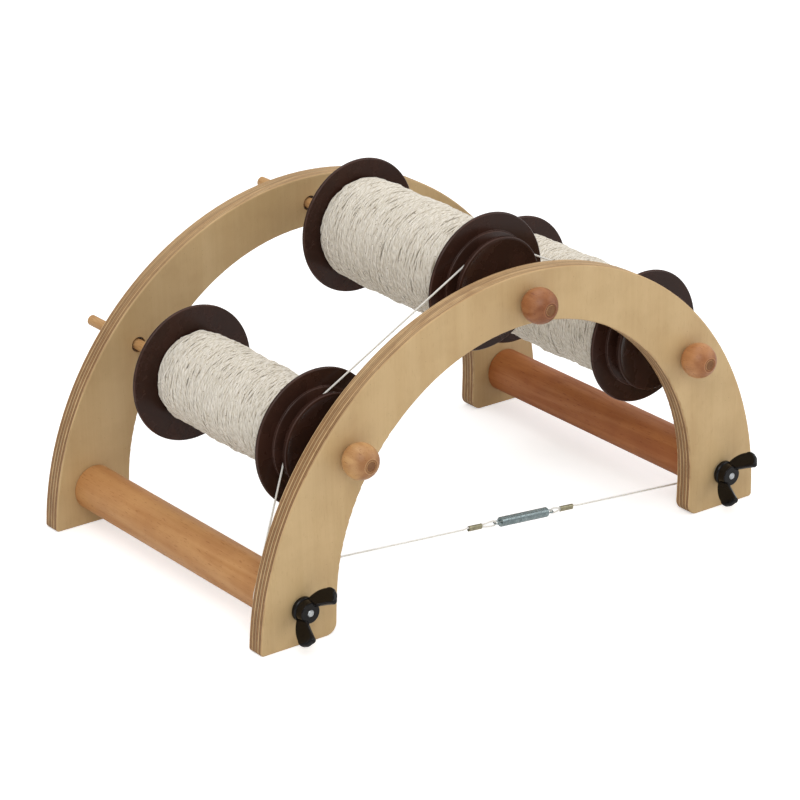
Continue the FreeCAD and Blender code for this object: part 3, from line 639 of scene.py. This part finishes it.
def glossy_nut(name, colour):
    """Black moulded plastic with a shine, faint peel, scuffs and a little dust."""
    material, wiring, shader = start_material(name, IOR=PLASTIC_IOR, Specular_IOR_Level=0.26)
    place = object_place(wiring)
    use = handling(wiring, place, 110.0, 1300.0)
    tint = wiring.stain(opaque(colour), use["Smears"], 0.5, toned(colour, 1.6, 1.6, 1.6))
    tint, roughness = dusty_plastic(wiring, tint, use, 0.15, 0.08, shade(128, 120, 112), 0.10, 0.17)
    finish_surface(wiring, shader, tint, roughness, wiring.noise(place, 700.0, 2.0), 0.05 * MM, 0.5)
    return material


def spun_yarn(name, colour, fleck):
    """Undyed slubby yarn on its strand map: twisted plies with painted shade in the valleys between them,
    soft fibre, greyer lengths and bits of husk.
    """
    material, wiring, shader = start_material(name, IOR=YARN_IOR, Specular_IOR_Level=0.12, Sheen_Weight=0.15)
    spun = spun_fibre(wiring, 150.0, 2.0)
    slow = wiring.step(spun["Slow"], 0.35, 0.65)
    tint = wiring.mix(slow, opaque(colour), opaque(toned(colour, 0.88, 0.87, 0.84)))
    # Painted shade: the valleys between the twisted plies are darkened
    ply_valley_shade = wiring.step(spun["Height"], 0.05, 0.75, 1.0, 0.0)
    tint = wiring.stain(tint, ply_valley_shade, 0.62, toned(colour, 0.52, 0.48, 0.38))
    husk = wiring.step(wiring.noise(object_place(wiring), 520.0, 1.0), 0.70, 0.76)
    tint = wiring.stain(tint, husk, 0.75, fleck)
    roughness = wiring.step(spun["Fibre"], 0.2, 0.8, 0.78, 0.96)
    finish_surface(wiring, shader, tint, roughness, spun["Height"], 0.4 * MM, 0.9)
    return material


def yarn_bed(name, colour):
    """The yarn below the top turns: the same fibre in shade, drawn out round the bobbin."""
    material, wiring, shader = start_material(name, IOR=YARN_IOR, Specular_IOR_Level=0.1, Sheen_Weight=0.1)
    spun = spun_fibre(wiring, 0.0, 100.0)
    deep, pale = toned(colour, 0.42, 0.38, 0.29), toned(colour, 0.70, 0.65, 0.54)
    tint = wiring.mix(wiring.step(spun["Height"], 0.2, 1.2), opaque(deep), opaque(pale))
    roughness = wiring.step(spun["Fibre"], 0.2, 0.8, 0.85, 0.97)
    finish_surface(wiring, shader, tint, roughness, spun["Height"], 0.3 * MM, 0.8)
    return material


def waxed_cord(name, colour):
    """Pale waxed cord: fine slanted lay, a little grime, a soft shine."""
    material, wiring, shader = start_material(name, IOR=1.47, Specular_IOR_Level=0.5)
    place = object_place(wiring, rotation=(0.0, 0.6, 0.0))
    lay = wiring.noise(wiring.stretch(place, (1.0, 0.55, 0.45)), 1500.0, 3.0, 0.6, 0.4)
    use = handling(wiring, object_place(wiring), 60.0, 900.0)
    dim = toned(colour, 0.80, 0.79, 0.75)
    tint = wiring.mix(wiring.step(lay, 0.35, 0.65), opaque(dim), opaque(colour))
    tint = wiring.stain(tint, use["Smears"], 0.35, dim)
    roughness = wiring.step(use["Smears"], 0.0, 1.0, 0.34, 0.55)
    finish_surface(wiring, shader, tint, roughness, lay, 0.15 * MM, 0.8)
    return material


def plated_metal(name, colour, roughest, smoothest, grain=900.0):
    """Plated metal with cloudy dulling, spangles and settled grime."""
    material, wiring, shader = start_material(name, Metallic=1.0)
    place = object_place(wiring)
    plate = wiring.group("Plating", make_plating, Vector=place, Grain=grain)
    use = handling(wiring, place, 120.0, 1500.0)
    clouded = wiring.step(plate["Cloud"], 0.35, 0.7, 0.0, 0.6)
    amount = wiring.math("MULTIPLY_ADD", plate["Spangle"], 0.25, clouded)
    tint = wiring.mix(amount, opaque(colour), opaque(toned(colour, 0.62, 0.62, 0.62)))
    tint = wiring.stain(tint, use["Specks"], 0.6, shade(70, 62, 52))
    polish = wiring.step(plate["Cloud"], 0.3, 0.7, smoothest, roughest)
    roughness = wiring.math("MULTIPLY_ADD", use["Scuffs"], 0.12, polish)
    finish_surface(wiring, shader, tint, roughness, plate["Height"], 0.03 * MM, 0.5)
    return material


# Surfaces


class Skin:
    """Gathers surfaces for one mesh: points, faces of three or four corners, and corners' strand places."""

    def __init__(self):
        self.points = []
        self.faces = []
        self.places = []
        self.count = 0

    def add(self, points, faces, places):
        """Adds points (n, 3) with lists of face arrays (m, k) and of their corners' places (m, k, 2)."""
        points = points.reshape(-1, 3)
        if signed_volume(points, faces) < 0.0:
            faces = [face[:, ::-1] for face in faces]
            places = [place[:, ::-1] for place in places]
        self.points.append(points)
        self.faces.extend(face + self.count for face in faces)
        self.places.extend(places)
        self.count += len(points)

    def build(self, name):
        """A smooth mesh object at the origin, with its corners' places in the map named Strand."""
        mesh = bpy.data.meshes.new(name)
        points = np.concatenate(self.points)
        corners = np.concatenate([face.ravel() for face in self.faces])
        sizes = np.concatenate([np.full(len(face), face.shape[1]) for face in self.faces])
        places = np.concatenate([place.reshape(-1, 2) for place in self.places])
        mesh.vertices.add(len(points))
        mesh.vertices.foreach_set("co", points.astype(np.float32).ravel())
        mesh.loops.add(len(corners))
        mesh.loops.foreach_set("vertex_index", corners.astype(np.int32))
        mesh.polygons.add(len(sizes))
        starts = np.concatenate([[0], np.cumsum(sizes)[:-1]])
        mesh.polygons.foreach_set("loop_start", starts.astype(np.int32))
        mesh.update(calc_edges=True)
        mesh.uv_layers.new(name="Strand").data.foreach_set("uv", places.astype(np.float32).ravel())
        mesh.polygons.foreach_set("use_smooth", np.ones(len(sizes), dtype=bool))
        mesh.validate()
        mesh.update()
        made = bpy.data.objects.new(name, mesh)
        bpy.context.scene.collection.objects.link(made)
        return made


def signed_volume(points, faces):
    """Sum over triangles of a . (b x c) / 6: positive where the faces look outwards."""
    total = 0.0
    for face in faces:
        for second in range(1, face.shape[1] - 1):
            a, b, c = points[face[:, 0]], points[face[:, second]], points[face[:, second + 1]]
            total += float(np.einsum("ij,ij->i", a, np.cross(b, c)).sum()) / 6.0
    return total


def ring_faces(rows, columns, loop_rows=False):
    """Quads between neighbouring rings of points; rings close on themselves, and the rows too if asked."""
    last = rows if loop_rows else rows - 1
    row, column = np.meshgrid(np.arange(last), np.arange(columns), indexing="ij")
    row, column = row.ravel(), column.ravel()
    next_row, next_column = (row + 1) % rows, (column + 1) % columns
    corners = ((row, column), (next_row, column), (next_row, next_column), (row, next_column))
    return np.stack([down * columns + across for down, across in corners], axis=1), row, column


def corner_places(rows, columns, swapped=False):
    """Places of quads' four corners, from each quad's near and far value along the rows and the columns."""
    (near, far), (first, second) = rows, columns
    corners = ((near, first), (far, first), (far, second), (near, second))
    return np.stack([np.stack(corner[::-1] if swapped else corner, axis=1) for corner in corners], axis=1)


def tube(skin, centres, first, second, radii, sides):
    """A closed tube: point(i, j) = centre_i + radius_i (cos a_j first_i + sin a_j second_i), and two ends."""
    rows = len(centres)
    angles = TURN * np.arange(sides)[None, :, None] / sides
    across = np.cos(angles) * first[:, None, :] + np.sin(angles) * second[:, None, :]
    points = (centres[:, None, :] + radii[:, None, None] * across).reshape(-1, 3)
    steps = np.linalg.norm(np.diff(centres, axis=0), axis=1)
    along = np.concatenate([[0.0], np.cumsum(steps)])
    faces, row, column = ring_faces(rows, sides)
    places = corner_places((along[row], along[row + 1]), (column / sides, (column + 1) / sides))
    column = np.arange(sides)
    start, end = rows * sides, rows * sides + 1
    first_cap = np.stack([np.full(sides, start), column, (column + 1) % sides], axis=1)
    last = (rows - 1) * sides
    last_cap = np.stack([np.full(sides, end), last + (column + 1) % sides, last + column], axis=1)
    around = ((column + corner) / sides for corner in (0, 0, 1))
    cap_places = np.stack([np.stack([np.zeros(sides), turn], axis=1) for turn in around], axis=1)
    points = np.concatenate([points, centres[:1], centres[-1:]])
    skin.add(points, [faces, first_cap, last_cap], [places, cap_places, cap_places + [along[-1], 0.0]])


def wave_sum(random, places, reach, count=7):
    """Smooth noise as a sum of sines: sum of a_k sin(places . f_k + phase_k), scaled to stay near 1."""
    frequencies = random.uniform(-1.0, 1.0, (count, places.shape[-1])) * np.asarray(reach)
    phases = random.uniform(0.0, TURN, count)
    heights = random.uniform(0.4, 1.0, count)
    total = (heights * np.sin(places @ frequencies.T + phases)).sum(axis=-1)
    return total / np.sqrt((heights**2).sum() / 2.0) / 1.8


def node_points(node):
    """The points of a CAD node's mesh."""
    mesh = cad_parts[node].data
    points = np.empty(len(mesh.vertices) * 3)
    mesh.vertices.foreach_get("co", points)
    return points.reshape(-1, 3)


class Winding:
    """The yarn's place on one bobbin: its axis, its two ends, and how far out it reaches anywhere on it."""

    def __init__(self, node, seed, hills):
        points = node_points(node)
        low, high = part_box(node)
        self.x, self.z = (low.x + high.x) / 2.0, (low.z + high.z) / 2.0
        self.low, self.high = low.y, high.y
        reach = np.hypot(points[:, 0] - self.x, points[:, 2] - self.z)
        skin = reach > 0.9 * reach.max() - MM
        self.depths, first = np.unique(np.round(points[skin, 1], 5), return_index=True)
        self.radii = reach[skin][first]
        self.seed = seed
        self.hills = hills

    def reach(self, angle, depth):
        """Radius(a, y): the outline at y, less at both ends, plus smooth noise in (cos a, sin a, y) and y."""
        around = np.stack([np.cos(angle), np.sin(angle), depth / (9.0 * MM)], axis=-1)
        random = np.random.default_rng(self.seed)
        hills = wave_sum(random, around, (1.8, 1.8, 1.0))
        belts = wave_sum(random, around[..., 2:], (1.6,))
        edge = np.minimum(depth - self.low, self.high - depth)
        shoulder = 1.0 * MM * np.exp(-edge / (3.0 * MM))
        outline = np.interp(depth, self.depths, self.radii)
        return outline + self.hills * (0.6 * hills + 0.5 * belts - 0.3) - shoulder


def wound_pass(skin, random, bobbin, winding, turns, way, sink, wander, start):
    """One pass of yarn: a helix y(t) = y0 + (y1 - y0) t at radius R(a, y) - sink, moved by smooth noise.

    The strand's radius is r0 (0.86 + 0.14 s + 0.24 b), where s is slow noise along it, which swells now
    and then into slubs, and b is quick noise, the beads that its twist makes.
    """
    steps = turns * winding.segments + 1
    share = np.linspace(0.0, 1.0, steps)
    angle = start + TURN * turns * share
    margin = winding.strand * 1.15
    from_y, to_y = bobbin.low + margin, bobbin.high - margin
    if way < 0:
        from_y, to_y = to_y, from_y
    depth = from_y + (to_y - from_y) * share
    around = np.stack([np.cos(angle), np.sin(angle), depth / 0.02], axis=1)
    drift = wave_sum(random, around, (1.6, 1.6, 1.1)) * wander
    quick = np.stack([angle, depth / 0.004], axis=1)
    drift += wave_sum(random, quick, (5.0, 0.6)) * wander * 0.25
    drift += wave_sum(random, quick, (17.0, 2.0), 11) * winding.strand * 0.45
    depth = np.clip(depth + drift, bobbin.low + margin, bobbin.high - margin)
    length = (angle * bobbin.radii.max())[:, None] / MM
    slub = wave_sum(random, length, (0.15,), 11)
    bead = wave_sum(random, length, (0.95,), 15)
    thick = winding.strand * (0.86 + 0.14 * slub + 0.24 * bead + 0.3 * np.clip(slub - 0.5, 0.0, 1.0))
    lift = wave_sum(random, np.stack([angle * 2.0, depth / 0.006], axis=1), (8.0, 1.3), 11) * 0.45 * MM
    reach = bobbin.reach(angle, depth) - sink + lift
    outward = np.stack([np.cos(angle), np.zeros(steps), np.sin(angle)], axis=1)
    axis_points = np.stack([np.full(steps, bobbin.x), depth, np.full(steps, bobbin.z)], axis=1)
    axis = np.tile([0.0, 1.0, 0.0], (steps, 1))
    tube(skin, axis_points + outward * reach[:, None], outward, axis, thick, winding.sides)


def wound_bed(skin, random, bobbin, core, sink):
    """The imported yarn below: a closed ring at radius R(a, y) - sink, with small ridges of its own."""
    columns, lines = 72, 120
    depth = np.concatenate([[bobbin.low], np.linspace(bobbin.low, bobbin.high, lines), [bobbin.high]])
    angle = TURN * np.arange(columns) / columns
    depth_grid, angle_grid = np.meshgrid(depth, angle, indexing="ij")
    around = np.stack([np.cos(angle_grid), np.sin(angle_grid), depth_grid / 0.01], axis=-1)
    ridges = wave_sum(random, around, (5.0, 5.0, 14.0)) * 0.15 * MM
    reach = bobbin.reach(angle_grid, depth_grid) - sink + ridges
    reach[[0, -1], :] = core
    points = np.stack(
        [bobbin.x + reach * np.cos(angle_grid), depth_grid, bobbin.z + reach * np.sin(angle_grid)], axis=2
    )
    rows = len(depth)
    faces, row, column = ring_faces(rows, columns, loop_rows=True)
    arc = TURN / columns * bobbin.radii.max()
    arcs = (column * arc, (column + 1) * arc)
    skin.add(points, [faces], [corner_places((row / rows, (row + 1) / rows), arcs, swapped=True)])


# Operators


def paint(node, material):
    """Gives a CAD node one material in place of its own."""
    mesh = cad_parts[node].data
    mesh.materials.clear()
    mesh.materials.append(material)


def flat_radius(node):
    """Radius of the flat that closes a knob's front, from the points of its mesh that lie in it."""
    points = node_points(node)
    centre = centre_of(node)
    flat = points[points[:, 1] < points[:, 1].min() + 0.01 * MM]
    return float(np.hypot(flat[:, 0] - centre.x, flat[:, 2] - centre.z).max())


def centre_of(node):
    """Middle of a CAD node's box."""
    low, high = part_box(node)
    return (low + high) / 2.0


class RACK_OT_stage(bpy.types.Operator):
    """Lays the floor, hangs the lights and stands the camera."""

    bl_idname = "rack.stage"
    bl_label = "Stage"

    def execute(self, context):
        studio = context.scene.rack_studio
        self.stand_camera(context.scene, studio)
        self.lay_floor(context.scene, studio)
        lamps = (
            ("key_light", (-1.15, -1.35, 1.75), 1.3, studio.key),
            ("fill_light", (1.55, -1.25, 1.05), 1.5, studio.fill),
            ("top_light", (0.05, 0.35, 2.1), 1.6, studio.top),
        )
        for name, place, size, power in lamps:
            self.hang_light(context.scene, name, place, size, power)
        self.light_room(context.scene, studio)
        context.scene.view_settings.view_transform = "Standard"
        return {"FINISHED"}

    @staticmethod
    def stand_camera(scene, studio):
        """The camera looks along -back from target + distance back, with up leaned by the roll."""
        azimuth, elevation, roll = studio.azimuth, studio.elevation, studio.roll
        back = Vector(
            (np.sin(azimuth) * np.cos(elevation), -np.cos(azimuth) * np.cos(elevation), np.sin(elevation))
        )
        right = Vector((np.cos(azimuth), np.sin(azimuth), 0.0))
        up = back.cross(right)
        across = right * np.cos(roll) + up * np.sin(roll)
        upward = up * np.cos(roll) - right * np.sin(roll)
        camera = bpy.data.objects.new("camera", bpy.data.cameras.new("camera"))
        camera.data.sensor_width = 36.0
        camera.data.lens = studio.lens
        camera.data.clip_start = 0.1
        camera.data.clip_end = 60.0
        place = Vector(studio.target) + back * studio.distance
        camera.matrix_world = Matrix.Translation(place) @ Matrix((across, upward, back)).transposed().to_4x4()
        scene.collection.objects.link(camera)
        scene.camera = camera

    @staticmethod
    def lay_floor(scene, studio):
        """A flat disc: point(r, a) = (r cos a, r sin a, 0), closed at its middle point."""
        columns, radii = 64, np.array([0.6, 2.0, 25.0])
        angle = TURN * np.arange(columns) / columns
        radius, angle = np.meshgrid(radii, angle, indexing="ij")
        rings = np.stack([radius * np.cos(angle), radius * np.sin(angle), np.zeros_like(radius)], axis=2)
        points = np.concatenate([rings.reshape(-1, 3), [[0.0, 0.0, 0.0]]])
        quads, _, _ = ring_faces(len(radii), columns)
        column = np.arange(columns)
        middle = np.stack([np.full(columns, rings[..., 0].size), column, (column + 1) % columns], axis=1)
        mesh = bpy.data.meshes.new("floor")
        mesh.from_pydata(points.tolist(), [], quads.tolist() + middle.tolist())
        material, wiring, shader = start_material(
            "pale_floor", Specular_IOR_Level=0.1, Emission_Strength=studio.glow
        )
        tone = wiring.noise(object_place(wiring), 3.0, 2.0)
        pale = tuple(studio.floor)
        tint = wiring.mix(tone, opaque(pale), opaque(toned(pale, 0.99, 0.99, 0.99)))
        roughness = wiring.step(tone, 0.3, 0.7, 0.8, 0.9)
        finish_surface(wiring, shader, tint, roughness, tone, 0.0001, 0.1)
        seen = wiring.add("ShaderNodeLightPath").outputs["Is Camera Ray"]
        lit = wiring.mix(seen, (0.0, 0.0, 0.0, 1.0), (1.0, 1.0, 1.0, 1.0))
        wiring.feed(shader, Emission_Color=lit)
        mesh.materials.append(material)
        floor = bpy.data.objects.new("floor", mesh)
        scene.collection.objects.link(floor)

    @staticmethod
    def hang_light(scene, name, place, size, power):
        """A square soft light at place, turned towards the rack's middle."""
        light = bpy.data.lights.new(name, "AREA")
        light.shape = "SQUARE"
        light.size = size
        light.energy = power
        lamp = bpy.data.objects.new(name, light)
        lamp.location = place
        lamp.rotation_euler = (RACK_MIDDLE - Vector(place)).to_track_quat("-Z", "Y").to_euler()
        scene.collection.objects.link(lamp)

    @staticmethod
    def light_room(scene, studio):
        """Pale even surroundings, which look white where the camera sees past the floor."""
        world = bpy.data.worlds.new("pale_room")
        world.use_nodes = True
        world.node_tree.nodes.clear()
        wiring = Wiring(world.node_tree)
        seen = wiring.add("ShaderNodeLightPath").outputs["Is Camera Ray"]
        strength = wiring.math("ADD", wiring.math("MULTIPLY", seen, 1.0 - studio.sky), studio.sky)
        sky = wiring.add("ShaderNodeBackground", {"Color": (1.0, 1.0, 1.0, 1.0), "Strength": strength})
        output = wiring.add("ShaderNodeOutputWorld")
        wiring.tree.links.new(sky.outputs[0], output.inputs[0])
        scene.world = world


class RACK_OT_arches(bpy.types.Operator):
    """Finishes the two birch plywood arches."""

    bl_idname = "rack.arches"
    bl_label = "Arches"

    def execute(self, context):
        finish = context.scene.rack_finish
        for node in ("front_arch", "rear_arch"):
            low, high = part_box(node)
            paint(node, plywood(node + "_ply", finish, low.y, high.y - low.y))
        return {"FINISHED"}


class RACK_OT_crossbars(bpy.types.Operator):
    """Finishes the two beech crossbars."""

    bl_idname = "rack.crossbars"
    bl_label = "Crossbars"

    def execute(self, context):
        finish = context.scene.rack_finish
        left = long_beech("left_bar_beech", tuple(finish.bar_left), (0.07, 0.11, 0.05))
        right = long_beech("right_bar_beech", tuple(finish.bar_right), (0.43, 0.02, 0.21), 30.0, 0.85)
        paint("left_crossbar", left)
        paint("right_crossbar", right)
        return {"FINISHED"}


class RACK_OT_axles(bpy.types.Operator):
    """Finishes the axle rods and their turned knobs."""

    bl_idname = "rack.axles"
    bl_label = "Axles"

    def execute(self, context):
        finish = context.scene.rack_finish
        for number, place in enumerate(PLACES):
            dowel = long_beech(
                place + "_dowel_beech", tuple(finish.dowel), (0.13 * number, 0.29, 0.17 * number), 150.0, 0.6,
                (0.35, 0.26, 0.20),
            )
            paint(place + "_rod", dowel)
            centre = centre_of(place + "_rod")
            tone = tuple(getattr(finish, place + "_knob"))
            knob = turned_beech(place + "_knob_beech", tone, tuple(centre), flat_radius(place + "_knob"))
            paint(place + "_knob", knob)
        return {"FINISHED"}


class RACK_OT_bobbins(bpy.types.Operator):
    """Finishes the moulded bobbins: whorl end, core and plain end flange."""

    bl_idname = "rack.bobbins"
    bl_label = "Bobbins"

    def execute(self, context):
        finish = context.scene.rack_finish
        for place in PLACES:
            low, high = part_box(place + "_rear_flange")
            centre = centre_of(place + "_rear_flange")
            plastic = moulded_bobbin(
                place + "_bobbin_plastic", tuple(finish.bobbin), tuple(centre), (high.x - low.x) / 2.0
            )
            for part in ("_whorl", "_core", "_rear_flange"):
                paint(place + part, plastic)
        return {"FINISHED"}


class RACK_OT_yarn(bpy.types.Operator):
    """Winds the yarn on the three bobbins."""

    bl_idname = "rack.yarn"
    bl_label = "Yarn"

    def execute(self, context):
        winding = context.scene.rack_winding
        finish = context.scene.rack_finish
        strand_material = spun_yarn("spun_yarn", tuple(finish.yarn), tuple(finish.yarn_fleck))
        open_turns = winding.cross_turns
        # Each pass: turns, way along the bobbin, millimetres below its skin and of wander, first angle
        passes = (
            (winding.turns, 1, 1.5, 0.8, 0.4),
            (winding.back_turns, -1, 1.0, 2.6, 1.9),
            (open_turns + 7, 1, 0.6, 4.0, 3.1),
            (open_turns, -1, 0.4, 6.0, 5.3),
            (open_turns - 2, 1, 0.2, 7.0, 0.9),
        )
        for number, place in enumerate(PLACES):
            random = np.random.default_rng(41 + number)
            core_low, core_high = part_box(place + "_core")
            bobbin = Winding(place + "_yarn", 11 + number, winding.hills)
            skin = Skin()
            for turns, way, sink, wander, start in passes:
                wound_pass(skin, random, bobbin, winding, turns, way, sink * MM, wander * MM, start)
            strands = skin.build(place + "_yarn_strands")
            strands.data.materials.append(strand_material)
            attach(strands, place + "_bobbin")
            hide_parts(place + "_yarn")
            skin = Skin()
            wound_bed(skin, random, bobbin, (core_high.x - core_low.x) / 2.0, BED_SINK)
            bed = skin.build(place + "_yarn_bed")
            bed.data.materials.append(yarn_bed(place + "_yarn_below", tuple(finish.yarn)))
            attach(bed, place + "_bobbin")
        return {"FINISHED"}


class RACK_OT_brake(bpy.types.Operator):
    """Finishes the brake cord, its spring and its crimps."""

    bl_idname = "rack.brake"
    bl_label = "Brake cord"

    def execute(self, context):
        finish = context.scene.rack_finish
        paint("brake_cord", waxed_cord("waxed_cord", tuple(finish.cord)))
        paint("brake_spring", plated_metal("spring_zinc", tuple(finish.spring), 0.38, 0.20, 1400.0))
        crimp = plated_metal("crimp_nickel", tuple(finish.crimp), 0.50, 0.34, 1600.0)
        for side in SIDES:
            paint(side + "_crimp", crimp)
        return {"FINISHED"}


class RACK_OT_fixings(bpy.types.Operator):
    """Finishes the wing nuts, studs, washers, bolts and inserts."""

    bl_idname = "rack.fixings"
    bl_label = "Fixings"

    def execute(self, context):
        finish = context.scene.rack_finish
        zinc = plated_metal("fixing_zinc", tuple(finish.zinc), 0.48, 0.30)
        brass = plated_metal("insert_brass", tuple(finish.brass), 0.42, 0.26)
        nut = glossy_nut("nut_plastic", tuple(finish.nut))
        for side in SIDES:
            for part in ("_stud", "_washer", "_rear_bolt"):
                paint(side + part, zinc)
            paint(side + "_insert", brass)
            paint(side + "_wing_nut", nut)
        return {"FINISHED"}


OPERATORS = (
    RACK_OT_stage,
    RACK_OT_arches,
    RACK_OT_crossbars,
    RACK_OT_axles,
    RACK_OT_bobbins,
    RACK_OT_yarn,
    RACK_OT_brake,
    RACK_OT_fixings,
)


class RACK_PT_sidebar(bpy.types.Panel):
    """Lists the rack's operators with their settings."""

    bl_idname = "RACK_PT_sidebar"
    bl_label = "Bobbin Rack"
    bl_space_type = "VIEW_3D"
    bl_region_type = "UI"
    bl_category = "Bobbin Rack"

    def draw(self, context):
        column = self.layout.column()
        for operator in OPERATORS:
            column.operator(operator.bl_idname)
        for settings in ("rack_finish", "rack_winding", "rack_studio"):
            column.separator()
            group = getattr(context.scene, settings)
            for name in group.__annotations__:
                column.prop(group, name)


CLASSES = (RackFinish, RackWinding, RackStudio, *OPERATORS, RACK_PT_sidebar)


def register():
    """Registers the classes and hangs the settings on the scene."""
    for item in CLASSES:
        bpy.utils.register_class(item)
    bpy.types.Scene.rack_finish = PointerProperty(type=RackFinish)
    bpy.types.Scene.rack_winding = PointerProperty(type=RackWinding)
    bpy.types.Scene.rack_studio = PointerProperty(type=RackStudio)


def unregister():
    """Takes the settings and the classes away again."""
    for name in ("rack_finish", "rack_winding", "rack_studio"):
        delattr(bpy.types.Scene, name)
    for item in reversed(CLASSES):
        bpy.utils.unregister_class(item)


def main():
    """Builds everything in order."""
    register()
    bpy.ops.rack.stage()
    bpy.ops.rack.arches()
    bpy.ops.rack.crossbars()
    bpy.ops.rack.axles()
    bpy.ops.rack.bobbins()
    bpy.ops.rack.yarn()
    bpy.ops.rack.brake()
    bpy.ops.rack.fixings()
    bpy.context.view_layer.update()


if __name__ == "__main__":
    main()
